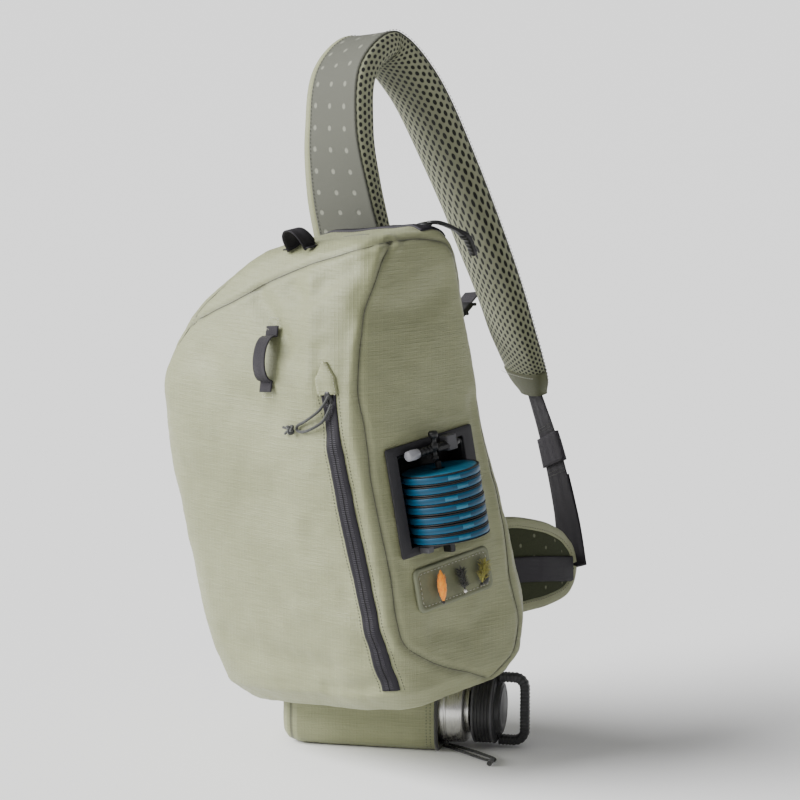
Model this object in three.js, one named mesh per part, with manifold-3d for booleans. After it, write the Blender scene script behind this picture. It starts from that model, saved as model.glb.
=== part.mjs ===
// Fishing tackle sling bag, standing on its bottle sleeve, leaning forward and to its left.
// Millimetres, +Z up. The origin is the middle of the sleeve's flat underside.
import * as THREE from 'three';
import Module from 'manifold-3d';
import { mergeVertices } from 'three/addons/utils/BufferGeometryUtils.js';

const wasm = await Module();
wasm.setup();

// Stance of the bag
const leanForward = 6;
const rollLeft = 7;
const bodyStand = { x: 27, y: -30, z: 57 };

// Bag body
const bodyWidth = 250;
const bodyDepth = 164;
const bodyHeight = 382;
const bodyMiddle = { x: -8, y: 5 };
const frontSquareness = 5;
const backSquareness = 9;
const fabricWall = 2.2;
const seat = 0.3;

// Main zip over the top edge
const mainZipWidth = 26;
const mainZipThickness = 1.6;
const mainZipLength = 144;
const mainZipSlot = 9;
const mainZipInset = 8;
const pullRise = 8.5;

// Front pocket zip
const frontZipWidth = 14;
const frontZipThickness = 1.6;
const frontZipLength = 247;
const frontZipBottom = 20;
const zipHoodLength = 24;
const zipHoodThickness = 3;
const pullKnotRadius = 4.2;
const pullCordDiameter = 2.4;

// Tippet spool holder on the right side
const wellWidth = 99;
const wellHeight = 90;
const wellDepth = 30;
const wellWall = 1.6;
const wellLip = 12;
const wellFootLip = 5;
const wellHeadLip = 10;
const wellBottom = 125;
const spoolRadius = 33;
const spoolThickness = 8.2;
const spoolCount = 7;
const spoolBore = 4;
const barRadius = 2.6;
const toggleRadius = 4;
const toggleLength = 82;

// Fly patch and flies
const patchWidth = 86;
const patchHeight = 36;
const patchThickness = 2.4;
const patchBottom = 78;
const flyLength = 24;

// Webbing
const loopWidth = 15;
const loopThickness = 1.4;
const webbingWidth = 26;
const webbingThickness = 1.6;

// Shoulder strap
const strapWidth = 86;
const strapThickness = 27;
const strapRise = 200;
const strapReach = 200;
const strapSide = -18;

// Hip pad
const padLength = 112;
const padHeight = 80;
const padThickness = 9;
const padBottom = 40;

// Bottle and its sleeve
const sleeveTurn = 33;
const bottleRadius = 31;
const bottleWall = 1.8;
const bottleShoulder = 150;
const lidRadius = 30;
const lidHeight = 20;
const knobRadius = 22;
const knobHeight = 4;
const handleHeight = 63;
const handleReach = 27;
const handleBar = 8;
const handleWidth = 11;
const sleeveLength = 136;
const sleeveWall = 2;
const sleeveRoom = 0.8;
const drawcordDiameter = 2.4;

const rad = THREE.MathUtils.degToRad;
const vec = (x, y, z) => new THREE.Vector3(x, y, z);

const materials = {
  fabric: new THREE.MeshStandardMaterial({ color: 0xa9ab90, roughness: 0.62, metalness: 0 }),
  zip: new THREE.MeshStandardMaterial({ color: 0x2c2930, roughness: 0.6, metalness: 0 }),
  webbing: new THREE.MeshStandardMaterial({ color: 0x3a3840, roughness: 0.75, metalness: 0 }),
  mesh: new THREE.MeshStandardMaterial({ color: 0x9da088, roughness: 0.9, metalness: 0 }),
  plastic: new THREE.MeshStandardMaterial({ color: 0x1c1b1f, roughness: 0.5, metalness: 0 }),
  spool: new THREE.MeshStandardMaterial({ color: 0x12658c, roughness: 0.35, metalness: 0 }),
  steel: new THREE.MeshStandardMaterial({ color: 0xb9b7b0, roughness: 0.3, metalness: 1 }),
  cord: new THREE.MeshStandardMaterial({ color: 0x4c5148, roughness: 0.85, metalness: 0 }),
  orangeFly: new THREE.MeshStandardMaterial({ color: 0xf0952a, roughness: 0.8, metalness: 0 }),
  blackFly: new THREE.MeshStandardMaterial({ color: 0x1b1b14, roughness: 0.9, metalness: 0 }),
  oliveFly: new THREE.MeshStandardMaterial({ color: 0x7c7d20, roughness: 0.9, metalness: 0 }),
};

const group = new THREE.Group();
const bag = new THREE.Group();
bag.position.set(bodyStand.x, bodyStand.y, bodyStand.z);
bag.rotation.set(rad(leanForward), rad(-rollLeft), 0);
const base = new THREE.Group();
base.rotation.z = rad(sleeveTurn);
group.add(bag, base);

function addPiece(parent, name, geometry, material) {
  const mesh = new THREE.Mesh(geometry, material);
  mesh.name = name;
  parent.add(mesh);
  return mesh;
}

// Closed loft through rings of equal point count, with a fan at each end
function loft(rings) {
  const count = rings[0].length;
  const points = rings.flat();
  const faces = [];
  for (let r = 0; r + 1 < rings.length; r++) {
    for (let k = 0; k < count; k++) {
      const a = r * count + k;
      const b = r * count + (k + 1) % count;
      faces.push(a, b, b + count, a, b + count, a + count);
    }
  }
  const middle = (ring) => ring.reduce((sum, p) => sum.add(p), vec(0, 0, 0)).divideScalar(count);
  const first = points.length;
  const lastRing = (rings.length - 1) * count;
  points.push(middle(rings[0]), middle(rings[rings.length - 1]));
  for (let k = 0; k < count; k++) {
    const next = (k + 1) % count;
    faces.push(first, next, k);
    faces.push(first + 1, lastRing + k, lastRing + next);
  }
  const geometry = new THREE.BufferGeometry().setFromPoints(points);
  geometry.setIndex(faces);
  return signedVolume(geometry) < 0 ? flipped(geometry) : geometry;
}

function signedVolume(geometry) {
  const place = geometry.attributes.position;
  const index = geometry.index.array;
  const [a, b, c] = [vec(), vec(), vec()];
  let sum = 0;
  for (let k = 0; k < index.length; k += 3) {
    a.fromBufferAttribute(place, index[k]);
    b.fromBufferAttribute(place, index[k + 1]);
    c.fromBufferAttribute(place, index[k + 2]);
    sum += a.dot(b.cross(c));
  }
  return sum;
}

function flipped(geometry) {
  const index = geometry.index.array;
  for (let k = 0; k < index.length; k += 3) [index[k + 1], index[k + 2]] = [index[k + 2], index[k + 1]];
  return geometry;
}

function toSolid(geometry) {
  const bare = geometry.clone();
  bare.deleteAttribute('normal');
  bare.deleteAttribute('uv');
  const merged = mergeVertices(bare, 1e-4);
  return new wasm.Manifold(new wasm.Mesh({
    numProp: 3,
    vertProperties: new Float32Array(merged.attributes.position.array),
    triVerts: new Uint32Array(merged.index.array),
  }));
}

function fromSolid(solid) {
  const mesh = solid.getMesh();
  const geometry = new THREE.BufferGeometry();
  geometry.setAttribute('position', new THREE.BufferAttribute(new Float32Array(mesh.vertProperties), 3));
  geometry.setIndex(new THREE.BufferAttribute(new Uint32Array(mesh.triVerts), 1));
  return geometry;
}

// A box given by its lowest and highest corners
function boxBetween(low, high) {
  const geometry = new THREE.BoxGeometry(high.x - low.x, high.y - low.y, high.z - low.z);
  return geometry.translate((low.x + high.x) / 2, (low.y + high.y) / 2, (low.z + high.z) / 2);
}

// Bag body: shares of the height, half width and half depth at each level
const bodyLevels = [
  { up: 0.000, left: 0.79, right: 0.90, front: 0.76, back: 0.86 },
  { up: 0.040, left: 0.93, right: 0.98, front: 0.91, back: 1.02 },
  { up: 0.150, left: 0.99, right: 1.00, front: 0.97, back: 1.17 },
  { up: 0.380, left: 1.03, right: 1.00, front: 1.00, back: 1.05 },
  { up: 0.560, left: 1.05, right: 1.00, front: 0.99, back: 0.95 },
  { up: 0.740, left: 1.03, right: 1.00, front: 0.93, back: 0.95 },
  { up: 0.815, left: 0.91, right: 0.99, front: 0.80, back: 0.96 },
  { up: 0.880, left: 0.72, right: 0.99, front: 0.68, back: 0.96 },
  { up: 0.940, left: 0.43, right: 0.97, front: 0.52, back: 0.92 },
  { up: 0.980, left: 0.18, right: 0.94, front: 0.38, back: 0.82 },
  { up: 1.000, left: -0.05, right: 0.85, front: 0.20, back: 0.62 },
];
const bodyRingPoints = 32;

function levelAt(up) {
  const share = THREE.MathUtils.clamp(up, 0, 1);
  const above = Math.max(1, bodyLevels.findIndex((level) => level.up >= share));
  const low = bodyLevels[above - 1];
  const high = bodyLevels[above];
  const t = (share - low.up) / (high.up - low.up);
  const mix = (key) => THREE.MathUtils.lerp(low[key], high[key], t);
  return { left: mix('left'), right: mix('right'), front: mix('front'), back: mix('back') };
}

// Middle and half sizes of the body's section at a share of its height
function sectionAt(up, inset = 0) {
  const level = levelAt(up);
  const halfWidth = bodyWidth / 2;
  const halfDepth = bodyDepth / 2;
  return {
    x: bodyMiddle.x + (level.right - level.left) * halfWidth / 2,
    y: bodyMiddle.y + (level.back - level.front) * halfDepth / 2,
    a: (level.right + level.left) * halfWidth / 2 - inset,
    b: (level.back + level.front) * halfDepth / 2 - inset,
  };
}

function bodyRing(up, inset) {
  const section = sectionAt(up, inset);
  const height = inset + up * (bodyHeight - 2 * inset);
  const soft = (value, squareness) => Math.sign(value) * Math.abs(value) ** (2 / squareness);
  return Array.from({ length: bodyRingPoints }, (_, k) => {
    const turn = 2 * Math.PI * k / bodyRingPoints;
    const squareness = Math.sin(turn) > 0 ? backSquareness : frontSquareness;
    return vec(section.x + section.a * soft(Math.cos(turn), squareness),
      section.y + section.b * soft(Math.sin(turn), squareness), height);
  });
}

const bodyForm = (inset) => loft(bodyLevels.map((level) => bodyRing(level.up, inset)));

// Depth of the body's section on either side of its middle, at a place across it
function depthAt(section, x, squareness) {
  const off = Math.min(1, Math.abs((x - section.x) / section.a));
  return section.b * (1 - off ** squareness) ** (1 / squareness);
}
function frontAt(x, z) {
  const section = sectionAt(z / bodyHeight);
  return section.y - depthAt(section, x, frontSquareness);
}
function backAt(x, z) {
  const section = sectionAt(z / bodyHeight);
  return section.y + depthAt(section, x, backSquareness);
}
function sideAt(z) {
  const section = sectionAt(z / bodyHeight);
  return section.x + section.a;
}
// Height of the top surface above a place, by halving
function topAt(x, y) {
  let [low, high] = [bodyHeight / 2, bodyHeight];
  for (let step = 0; step < 30; step++) {
    const z = (low + high) / 2;
    const section = sectionAt(z / bodyHeight);
    const squareness = y > section.y ? backSquareness : frontSquareness;
    const insideWidth = Math.abs(x - section.x) < section.a;
    const inside = insideWidth && Math.abs(y - section.y) < depthAt(section, x, squareness);
    if (inside) low = z;
    else high = z;
  }
  return low;
}

// Sleeve: section of half width and half height, round above and flat below
const sleeveHalfWidth = bottleRadius + sleeveRoom + sleeveWall + 3;
const sleeveFlatDrop = 1.6;
const sleeveHalfHeight = bottleRadius + sleeveRoom / 2 + sleeveWall + sleeveFlatDrop;
const bottleAxisHeight = sleeveHalfHeight - sleeveFlatDrop;
const sleeveStart = -sleeveLength * 0.51;
const sleeveEnd = sleeveStart + sleeveLength;
const sleeveStations = [
  { along: 0.00, wide: 0.78, high: 0.80 },
  { along: 0.03, wide: 0.90, high: 0.92 },
  { along: 0.10, wide: 0.98, high: 0.99 },
  { along: 0.30, wide: 1.00, high: 1.00 },
  { along: 0.85, wide: 1.00, high: 1.00 },
  { along: 1.00, wide: 0.955, high: 1.00 },
];
const sleeveRingPoints = 24;

function sleeveRing(along, wide, high, grow) {
  const a = sleeveHalfWidth * wide + grow;
  const b = sleeveHalfHeight * high + grow;
  const floor = -grow;
  return Array.from({ length: sleeveRingPoints }, (_, k) => {
    const turn = 2 * Math.PI * k / sleeveRingPoints;
    const [c, s] = [Math.cos(turn), Math.sin(turn)];
    const power = s < 0 ? 2 / 4 : 2 / 2.2;
    const across = a * Math.sign(c) * Math.abs(c) ** power;
    const up = bottleAxisHeight + b * Math.sign(s) * Math.abs(s) ** power;
    return vec(along, across, Math.max(floor, up));
  });
}

function sleeveForm(grow, startExtra, endExtra) {
  const last = sleeveStations.length - 1;
  return loft(sleeveStations.map((station, k) => {
    const extra = k === last ? endExtra : startExtra * (1 - station.along);
    return sleeveRing(sleeveStart + station.along * sleeveLength + extra, station.wide, station.high, grow);
  }));
}

// Bottle profile as radius and height along its axis, with the mouth up
function bottleProfile() {
  const neck = bottleRadius * 0.72;
  const [r, w, top] = [bottleRadius, bottleWall, bottleShoulder];
  const mouth = top - 2;
  const shape = [[0, 0], [r - 4, 0], [r, 4], [r, top - 8], [neck, top - 4], [neck, mouth + 6],
    [neck - w, mouth + 6], [neck - w, top - 4 - w], [r - w, top - 8 - w], [r - w, 4 + w], [r - 4 - w, w], [0, w]];
  return shape.map(([x, y]) => new THREE.Vector2(x, y));
}

// Turns a lathe's axis from +Y to the sleeve's direction, starting at a place along it
function alongSleeve(geometry, start) {
  return geometry.rotateZ(-Math.PI / 2).translate(start, 0, bottleAxisHeight);
}

const roundSides = 24;
const sleeveTaper = 0.3;
const bottleStart = sleeveStart + sleeveWall + 10;
const lidStart = bottleStart + bottleShoulder + sleeveTaper;

function closedLathe(points, sides) {
  const profile = points[points.length - 1].x > 0 ? [...points, points[0].clone()] : points;
  const geometry = new THREE.LatheGeometry(profile, sides);
  const solid = toSolid(geometry);
  return fromSolid(solid);
}

function toTable(rows) {
  return rows.map(([x, y]) => new THREE.Vector2(x, y));
}

// Ribbon with a rectangular or domed section, lofted through stations with centre, across and up directions
function ribbon(stations, dome = 0) {
  return loft(stations.map(({ place, across, normal, width, thick }) => {
    const half = width / 2;
    const profile = dome
      ? [[-1, 0], [-0.5, 0], [0.5, 0], [1, 0], [1.0, 0.30], [0.86, 0.66], [0.5, 0.94], [0, 1], [-0.5, 0.94],
        [-0.86, 0.66], [-1.0, 0.30]]
      : [[-1, 0], [0, 0], [1, 0], [1, 1], [0, 1], [-1, 1]];
    return profile.map(([u, v]) => place.clone()
      .addScaledVector(across, u * half)
      .addScaledVector(normal, v * thick));
  }));
}

// Body shell, cut for the main zip, for the spool well and over the sleeve
const inBag = (geometry) => {
  bag.updateMatrix();
  base.updateMatrix();
  const change = bag.matrix.clone().invert().multiply(base.matrix);
  return geometry.applyMatrix4(change);
};
const wellCentreY = bodyMiddle.y + 1.5;
const wellMiddleZ = wellBottom + wellHeight / 2;
const wellFace = sideAt(wellMiddleZ) + seat;
const wellCup = {
  halfWidth: wellWidth / 2 - wellLip,
  foot: wellBottom + wellFootLip - wellMiddleZ,
  head: wellHeight / 2 - wellHeadLip,
};
const cupSeat = 0.5;

function bodyShell() {
  const outer = toSolid(bodyForm(0));
  const inner = toSolid(bodyForm(fabricWall));
  const over = toSolid(inBag(sleeveForm(seat, -seat, 40)));
  const overWall = toSolid(inBag(sleeveForm(seat + fabricWall, -seat - fabricWall, 45)));
  const slotLow = vec(mainZipStart + mainZipInset, mainZipY - mainZipSlot / 2, bodyHeight * 0.88);
  const slotHigh = vec(mainZipStart + mainZipLength - mainZipInset, mainZipY + mainZipSlot / 2, bodyHeight + 5);
  const window = boxBetween(
    vec(wellFace - wellDepth, wellCentreY - wellCup.halfWidth - cupSeat, wellMiddleZ + wellCup.foot - cupSeat),
    vec(wellFace + 20, wellCentreY + wellCup.halfWidth + cupSeat, wellMiddleZ + wellCup.head + cupSeat));
  return fromSolid(outer.subtract(over)
    .subtract(inner.subtract(overWall))
    .subtract(toSolid(boxBetween(slotLow, slotHigh)))
    .subtract(toSolid(window)));
}

// Strip that hugs a surface: each station gives points across it on the surface, and the way out
const stripRoot = 4;
const stripShares = [-1, -0.5, 0, 0.5, 1];
function hugStrip(stations, thick) {
  return loft(stations.map(({ edges, out }) => {
    const under = edges.map((point) => point.clone().addScaledVector(out, -stripRoot));
    const over = edges.map((point) => point.clone().addScaledVector(out, 2 * seat + thick));
    return [...under, ...over.reverse()];
  }));
}

// Cuts a piece's root back to the body's surface, with a small gap
function offBody(geometry) {
  return fromSolid(toSolid(geometry).subtract(toSolid(bodyForm(-seat))));
}

// Main zip along the top edge of the back, from its hidden end to its pull
const mainZipY = bodyMiddle.y + bodyDepth * 0.33;
const mainZipStart = bodyMiddle.x - bodyWidth * 0.12;
const mainZipSteps = 24;
function mainZip() {
  const half = mainZipWidth / 2;
  return hugStrip(Array.from({ length: mainZipSteps + 1 }, (_, k) => {
    const x = mainZipStart + mainZipLength * k / mainZipSteps;
    const edges = stripShares.map((share) => vec(x, mainZipY + share * half, topAt(x, mainZipY + share * half)));
    return { edges, out: vec(0, 0.5, 0.87) };
  }), mainZipThickness);
}

// Front pocket zip and the hood over its head: they follow the front surface
const frontZipFoot = bodyMiddle.x + bodyWidth * 0.416;
const frontZipHead = bodyMiddle.x + bodyWidth * 0.380;
const frontZipTop = frontZipBottom + frontZipLength;
const frontZipX = (z) => THREE.MathUtils.mapLinear(z, frontZipBottom, frontZipTop, frontZipFoot, frontZipHead);
function frontStrip(low, high, width, thick) {
  const heights = bodyLevels.map((level) => level.up * bodyHeight).filter((z) => z > low + 3 && z < high - 3);
  return hugStrip([low, ...heights, high].map((z) => {
    const edges = stripShares.map((share) => {
      const x = frontZipX(z) + share * width / 2;
      return vec(x, frontAt(x, z), z);
    });
    return { edges, out: vec(0.25, -0.97, 0) };
  }), thick);
}

// Arched webbing loop: foot to foot along X, width along Y, rising along Z
function webbingLoop(span, rise) {
  const shape = new THREE.Shape();
  const arcSteps = 8;
  const arch = (grow) => Array.from({ length: arcSteps + 1 }, (_, k) => {
    const turn = Math.PI * k / arcSteps;
    return new THREE.Vector2((span / 2 + grow) * Math.cos(turn), (rise + grow) * Math.sin(turn));
  });
  shape.setFromPoints([...arch(0), ...arch(-loopThickness).reverse()]);
  const geometry = new THREE.ExtrudeGeometry(shape, { depth: loopWidth, bevelEnabled: false, steps: 1 });
  return geometry.translate(0, 0, -loopWidth / 2).rotateX(Math.PI / 2);
}

// Well: a lip round a cup that is sunk into the body
function spoolWell() {
  const lip = boxBetween(vec(0, -wellWidth / 2, -wellHeight / 2), vec(wellWall, wellWidth / 2, wellHeight / 2));
  const { halfWidth, foot, head } = wellCup;
  const cup = boxBetween(vec(-wellDepth, -halfWidth, foot), vec(wellWall / 2, halfWidth, head));
  const hollow = boxBetween(vec(-wellDepth + wellWall, -halfWidth + wellWall, foot + wellWall),
    vec(2 * wellWall, halfWidth - wellWall, head - wellWall));
  return fromSolid(toSolid(lip).add(toSolid(cup)).subtract(toSolid(hollow)));
}

function spool() {
  const half = spoolThickness / 2 - seat / 2;
  const rim = 1.5;
  const groove = spoolRadius * 0.86;
  return closedLathe(toTable([[spoolBore, -half], [spoolRadius, -half], [spoolRadius, -half + rim], [groove, -half + 2 * rim],
    [groove, half - 2 * rim], [spoolRadius, half - rim], [spoolRadius, half], [spoolBore, half]]), roundSides)
    .rotateX(Math.PI / 2);
}

function flyBody(width) {
  const rows = [[0, 0], [0.45, 0.12], [1, 0.45], [0.6, 0.8], [0, 1]];
  const profile = toTable(rows.map(([r, y]) => [r * width / 2, (y - 0.5) * flyLength]));
  return closedLathe(profile, 8).rotateX(Math.PI / 2);
}

// Cord along points, with a round section, as an extrusion along a curve
const cordSides = 8;
function cordTube(points, diameter, steps) {
  const ring = new THREE.Shape(Array.from({ length: cordSides }, (_, k) => {
    const turn = 2 * Math.PI * k / cordSides;
    return new THREE.Vector2(Math.cos(turn) * diameter / 2, Math.sin(turn) * diameter / 2);
  }));
  const path = new THREE.CatmullRomCurve3(points.map(([x, y, z]) => vec(x, y, z)), false, 'centripetal');
  return new THREE.ExtrudeGeometry(ring, { steps, extrudePath: path, bevelEnabled: false });
}

// Shoulder strap: outer face as shares of side, reach and rise from the top of the back, and turn about Z
const strapRows = [
  { side: 0.00, reach: 0.000, rise: -0.56, turn: 0, wide: 0.70, thick: 0.45 },
  { side: 0.00, reach: 0.004, rise: -0.38, turn: 0, wide: 0.92, thick: 0.70 },
  { side: 0.00, reach: 0.006, rise: -0.12, turn: 0, wide: 1.00, thick: 0.90 },
  { side: 0.01, reach: -0.020, rise: 0.14, turn: -4, wide: 1.00, thick: 1.00 },
  { side: 0.03, reach: -0.020, rise: 0.42, turn: -12, wide: 1.00, thick: 1.10 },
  { side: 0.06, reach: 0.050, rise: 0.68, turn: -15, wide: 1.00, thick: 1.10 },
  { side: 0.09, reach: 0.260, rise: 0.78, turn: -17, wide: 1.00, thick: 1.06 },
  { side: 0.13, reach: 0.430, rise: 0.58, turn: -19, wide: 1.00, thick: 1.00 },
  { side: 0.15, reach: 0.570, rise: 0.20, turn: -20, wide: 0.98, thick: 0.95 },
  { side: 0.17, reach: 0.700, rise: -0.30, turn: -20, wide: 0.92, thick: 0.85 },
  { side: 0.18, reach: 0.765, rise: -0.64, turn: -20, wide: 0.84, thick: 0.75 },
  { side: 0.18, reach: 0.805, rise: -0.82, turn: -20, wide: 0.72, thick: 0.60 },
  { side: 0.18, reach: 0.820, rise: -0.90, turn: -20, wide: 0.44, thick: 0.45 },
];
const strapFoot = { x: bodyMiddle.x + strapSide, y: backAt(0, bodyHeight * 0.85) - 1.5, z: bodyHeight };

function strapPlace(row) {
  return vec(row.side * strapReach, row.reach * strapReach, row.rise * strapRise).add(strapFoot);
}

// Sections of equal spacing along a table of places, each with its own size
function stationsAlong(rows, places, steps, width, thick) {
  const path = new THREE.CatmullRomCurve3(places, false, 'centripetal');
  const last = rows.length - 1;
  return Array.from({ length: steps + 1 }, (_, k) => {
    const t = k / steps;
    const row = Math.min(last - 1, Math.floor(t * last));
    const part = t * last - row;
    const mix = (key) => THREE.MathUtils.lerp(rows[row][key], rows[row + 1][key], part);
    const tangent = path.getTangent(t);
    const across = vec(Math.cos(rad(mix('turn'))), Math.sin(rad(mix('turn'))), 0);
    across.addScaledVector(tangent, -across.dot(tangent)).normalize();
    const normal = tangent.clone().cross(across).normalize();
    return { place: path.getPoint(t), across, normal, width: width * mix('wide'), thick: thick * mix('thick') };
  });
}
const strapSteps = 36;
const shoulderStations = stationsAlong(strapRows, strapRows.map(strapPlace), strapSteps, strapWidth, strapThickness);

// Hip pad: starts on the back near the foot and reaches behind the bag
const padRows = [
  { side: 0.00, reach: 0.00, rise: 0.00, high: 1.00, thick: 1.0 },
  { side: 0.01, reach: 0.30, rise: -0.05, high: 0.98, thick: 1.0 },
  { side: 0.00, reach: 0.60, rise: -0.12, high: 0.86, thick: 1.0 },
  { side: -0.03, reach: 0.82, rise: -0.18, high: 0.68, thick: 1.0 },
  { side: -0.06, reach: 0.94, rise: -0.21, high: 0.46, thick: 0.9 },
  { side: -0.08, reach: 1.00, rise: -0.23, high: 0.20, thick: 0.7 },
];
const padSide = bodyWidth * 0.32;
const padRoot = { x: bodyMiddle.x + padSide, z: padBottom + padHeight / 2 };
const padBackAt = (share) => backAt(padRoot.x - padThickness, padBottom + share * padHeight);
padRoot.y = Math.max(...[0, 0.4, 1].map(padBackAt)) + 2 * seat;
function hipPadStations(steps) {
  const places = padRows.map((row) => vec(padRoot.x + row.side * padLength, padRoot.y + row.reach * padLength,
    padRoot.z + row.rise * padLength));
  const path = new THREE.CatmullRomCurve3(places, false, 'centripetal');
  const last = padRows.length - 1;
  return Array.from({ length: steps + 1 }, (_, k) => {
    const t = k / steps;
    const row = Math.min(last - 1, Math.floor(t * last));
    const part = t * last - row;
    const mix = (key) => THREE.MathUtils.lerp(padRows[row][key], padRows[row + 1][key], part);
    const tangent = k === 0 ? vec(0, 1, 0) : path.getTangent(t);
    const normal = vec(0, 0, 1).cross(tangent).normalize();
    const across = tangent.clone().cross(normal).normalize();
    return { place: path.getPoint(t), across, normal, width: padHeight * mix('high'), thick: padThickness * mix('thick') };
  });
}

// Build the bag's own pieces
addPiece(bag, 'body_shell', bodyShell(), materials.fabric);
addPiece(bag, 'main_zip', offBody(mainZip()), materials.zip);
addPiece(bag, 'front_zip', offBody(frontStrip(frontZipBottom, frontZipTop, frontZipWidth, frontZipThickness)),
  materials.zip);
const hoodForm = frontStrip(frontZipTop + seat, frontZipTop + zipHoodLength, frontZipWidth + 3, zipHoodThickness);
addPiece(bag, 'zip_hood', offBody(hoodForm), materials.fabric);

const pullWidth = 14;
const pullThickness = 4;
const pullRows = [
  { right: -6, behind: 0, down: 0, turn: 0, wide: 0.8, thick: 1 },
  { right: 1, behind: 17, down: 10, turn: 0, wide: 1, thick: 1 },
  { right: 5, behind: 32, down: 28, turn: 0, wide: 1, thick: 1.3 },
  { right: 5, behind: 35, down: 42, turn: 0, wide: 0.8, thick: 1 },
];
const pullHead = mainZipStart + mainZipLength;
const pullHome = vec(pullHead, mainZipY, topAt(pullHead - 6, mainZipY) + pullRise);
const pullPlaces = pullRows.map((row) => vec(pullHome.x + row.right, pullHome.y + row.behind, pullHome.z - row.down));
addPiece(bag, 'main_zip_pull', offBody(ribbon(stationsAlong(pullRows, pullPlaces, 6, pullWidth, pullThickness))),
  materials.plastic);

// Webbing loops: an arch whose feet end on the surface
function placedLoop(name, span, rise, turn, place) {
  const arch = webbingLoop(span, rise + loopRoot).translate(0, 0, -loopRoot);
  const pose = new THREE.Matrix4().makeRotationFromEuler(turn).setPosition(place);
  addPiece(bag, name, offBody(arch.applyMatrix4(pose)), materials.webbing);
}
const loopRoot = 2;
const frontLoopRise = 12;
const frontLoopSpan = 34;
const frontLoopZ = bodyHeight * 0.775;
const frontLoopX = bodyMiddle.x + bodyWidth * 0.12;
const frontAtLoop = (z) => frontAt(frontLoopX, z);
const frontLoopRun = frontAtLoop(frontLoopZ + frontLoopSpan / 2) - frontAtLoop(frontLoopZ - frontLoopSpan / 2);
placedLoop('front_loop', frontLoopSpan, frontLoopRise,
  new THREE.Euler(Math.PI / 2 - Math.atan2(frontLoopRun, frontLoopSpan), 0, Math.PI / 2, 'XYZ'),
  vec(frontLoopX, frontAt(frontLoopX, frontLoopZ), frontLoopZ));

const topLoopRise = 18;
const topLoopSpan = 20;
const topLoopX = bodyMiddle.x + bodyWidth * 0.16;
const topLoopY = bodyMiddle.y - bodyDepth * 0.14;
const topLoopFall = topAt(topLoopX + topLoopSpan / 2, topLoopY) - topAt(topLoopX - topLoopSpan / 2, topLoopY);
placedLoop('top_loop', topLoopSpan, topLoopRise, new THREE.Euler(0, -Math.atan2(topLoopFall, topLoopSpan), 0),
  vec(topLoopX, topLoopY, topAt(topLoopX, topLoopY)));

// Spool holder
const well = addPiece(bag, 'spool_well', spoolWell(), materials.plastic);
well.position.set(wellFace, wellCentreY, wellMiddleZ);
const stackX = wellFace + wellWall + toggleRadius + seat;
const stackHeight = spoolCount * spoolThickness;
const stackBottom = wellMiddleZ + wellCup.foot + wellWall + seat;
for (let k = 0; k < spoolCount; k++) {
  const piece = addPiece(bag, `spool_${k + 1}`, spool(), materials.spool);
  piece.position.set(stackX, wellCentreY, stackBottom + spoolThickness * (k + 0.5));
}
const rod = (radius, length) => closedLathe(toTable([[0, 0], [radius, 0], [radius, length], [0, length]]), 12);
const toggleZ = wellMiddleZ + wellCup.head - wellWall - toggleRadius;
const barLength = toggleZ - toggleRadius - seat - stackBottom;
const bar = addPiece(bag, 'spool_bar', rod(barRadius, barLength).rotateX(Math.PI / 2), materials.plastic);
bar.position.set(stackX, wellCentreY, stackBottom);
const toggle = addPiece(bag, 'spool_toggle', rod(toggleRadius, toggleLength), materials.plastic);
toggle.position.set(stackX, wellCentreY - toggleLength / 2, toggleZ);

// Fly patch and flies
const patchRound = 6;
function roundedPlate(width, height, thick, round) {
  const [w, h] = [width / 2, height / 2];
  const corner = (x, y, from) => Array.from({ length: 4 }, (_, k) => {
    const turn = rad(from + 30 * k);
    return new THREE.Vector2(x + round * Math.cos(turn), y + round * Math.sin(turn));
  });
  const outline = [...corner(w - round, h - round, 0), ...corner(round - w, h - round, 90),
    ...corner(round - w, round - h, 180), ...corner(w - round, round - h, 270)];
  return new THREE.ExtrudeGeometry(new THREE.Shape(outline), { depth: thick, bevelEnabled: false, steps: 1 });
}
const patchMiddleZ = patchBottom + patchHeight / 2;
const patchY = bodyMiddle.y + 3;
const patchFace = Math.max(sideAt(patchBottom), sideAt(patchBottom + patchHeight)) + seat;
const patch = addPiece(bag, 'fly_patch', roundedPlate(patchWidth, patchHeight, patchThickness, patchRound)
  .rotateZ(Math.PI / 2).rotateY(Math.PI / 2), materials.fabric);
patch.position.set(patchFace, patchY, patchMiddleZ);

const flies = [
  { name: 'fly_orange', across: -0.20, width: 8, tilt: 4, material: materials.orangeFly },
  { name: 'fly_black', across: 0.08, width: 9, tilt: -8, material: materials.blackFly },
  { name: 'fly_olive', across: 0.34, width: 11, tilt: -20, material: materials.oliveFly },
];
for (const fly of flies) {
  const piece = addPiece(bag, fly.name, flyBody(fly.width), fly.material);
  piece.position.set(patchFace + patchThickness + fly.width / 2 + seat, patchY + fly.across * patchWidth, patchMiddleZ);
  piece.rotation.x = rad(fly.tilt);
}

// Shoulder strap, its webbing, hip pad
addPiece(bag, 'shoulder_strap', offBody(ribbon(shoulderStations, 1)), materials.mesh);
addPiece(bag, 'hip_pad', offBody(ribbon(hipPadStations(14))), materials.fabric);

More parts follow.
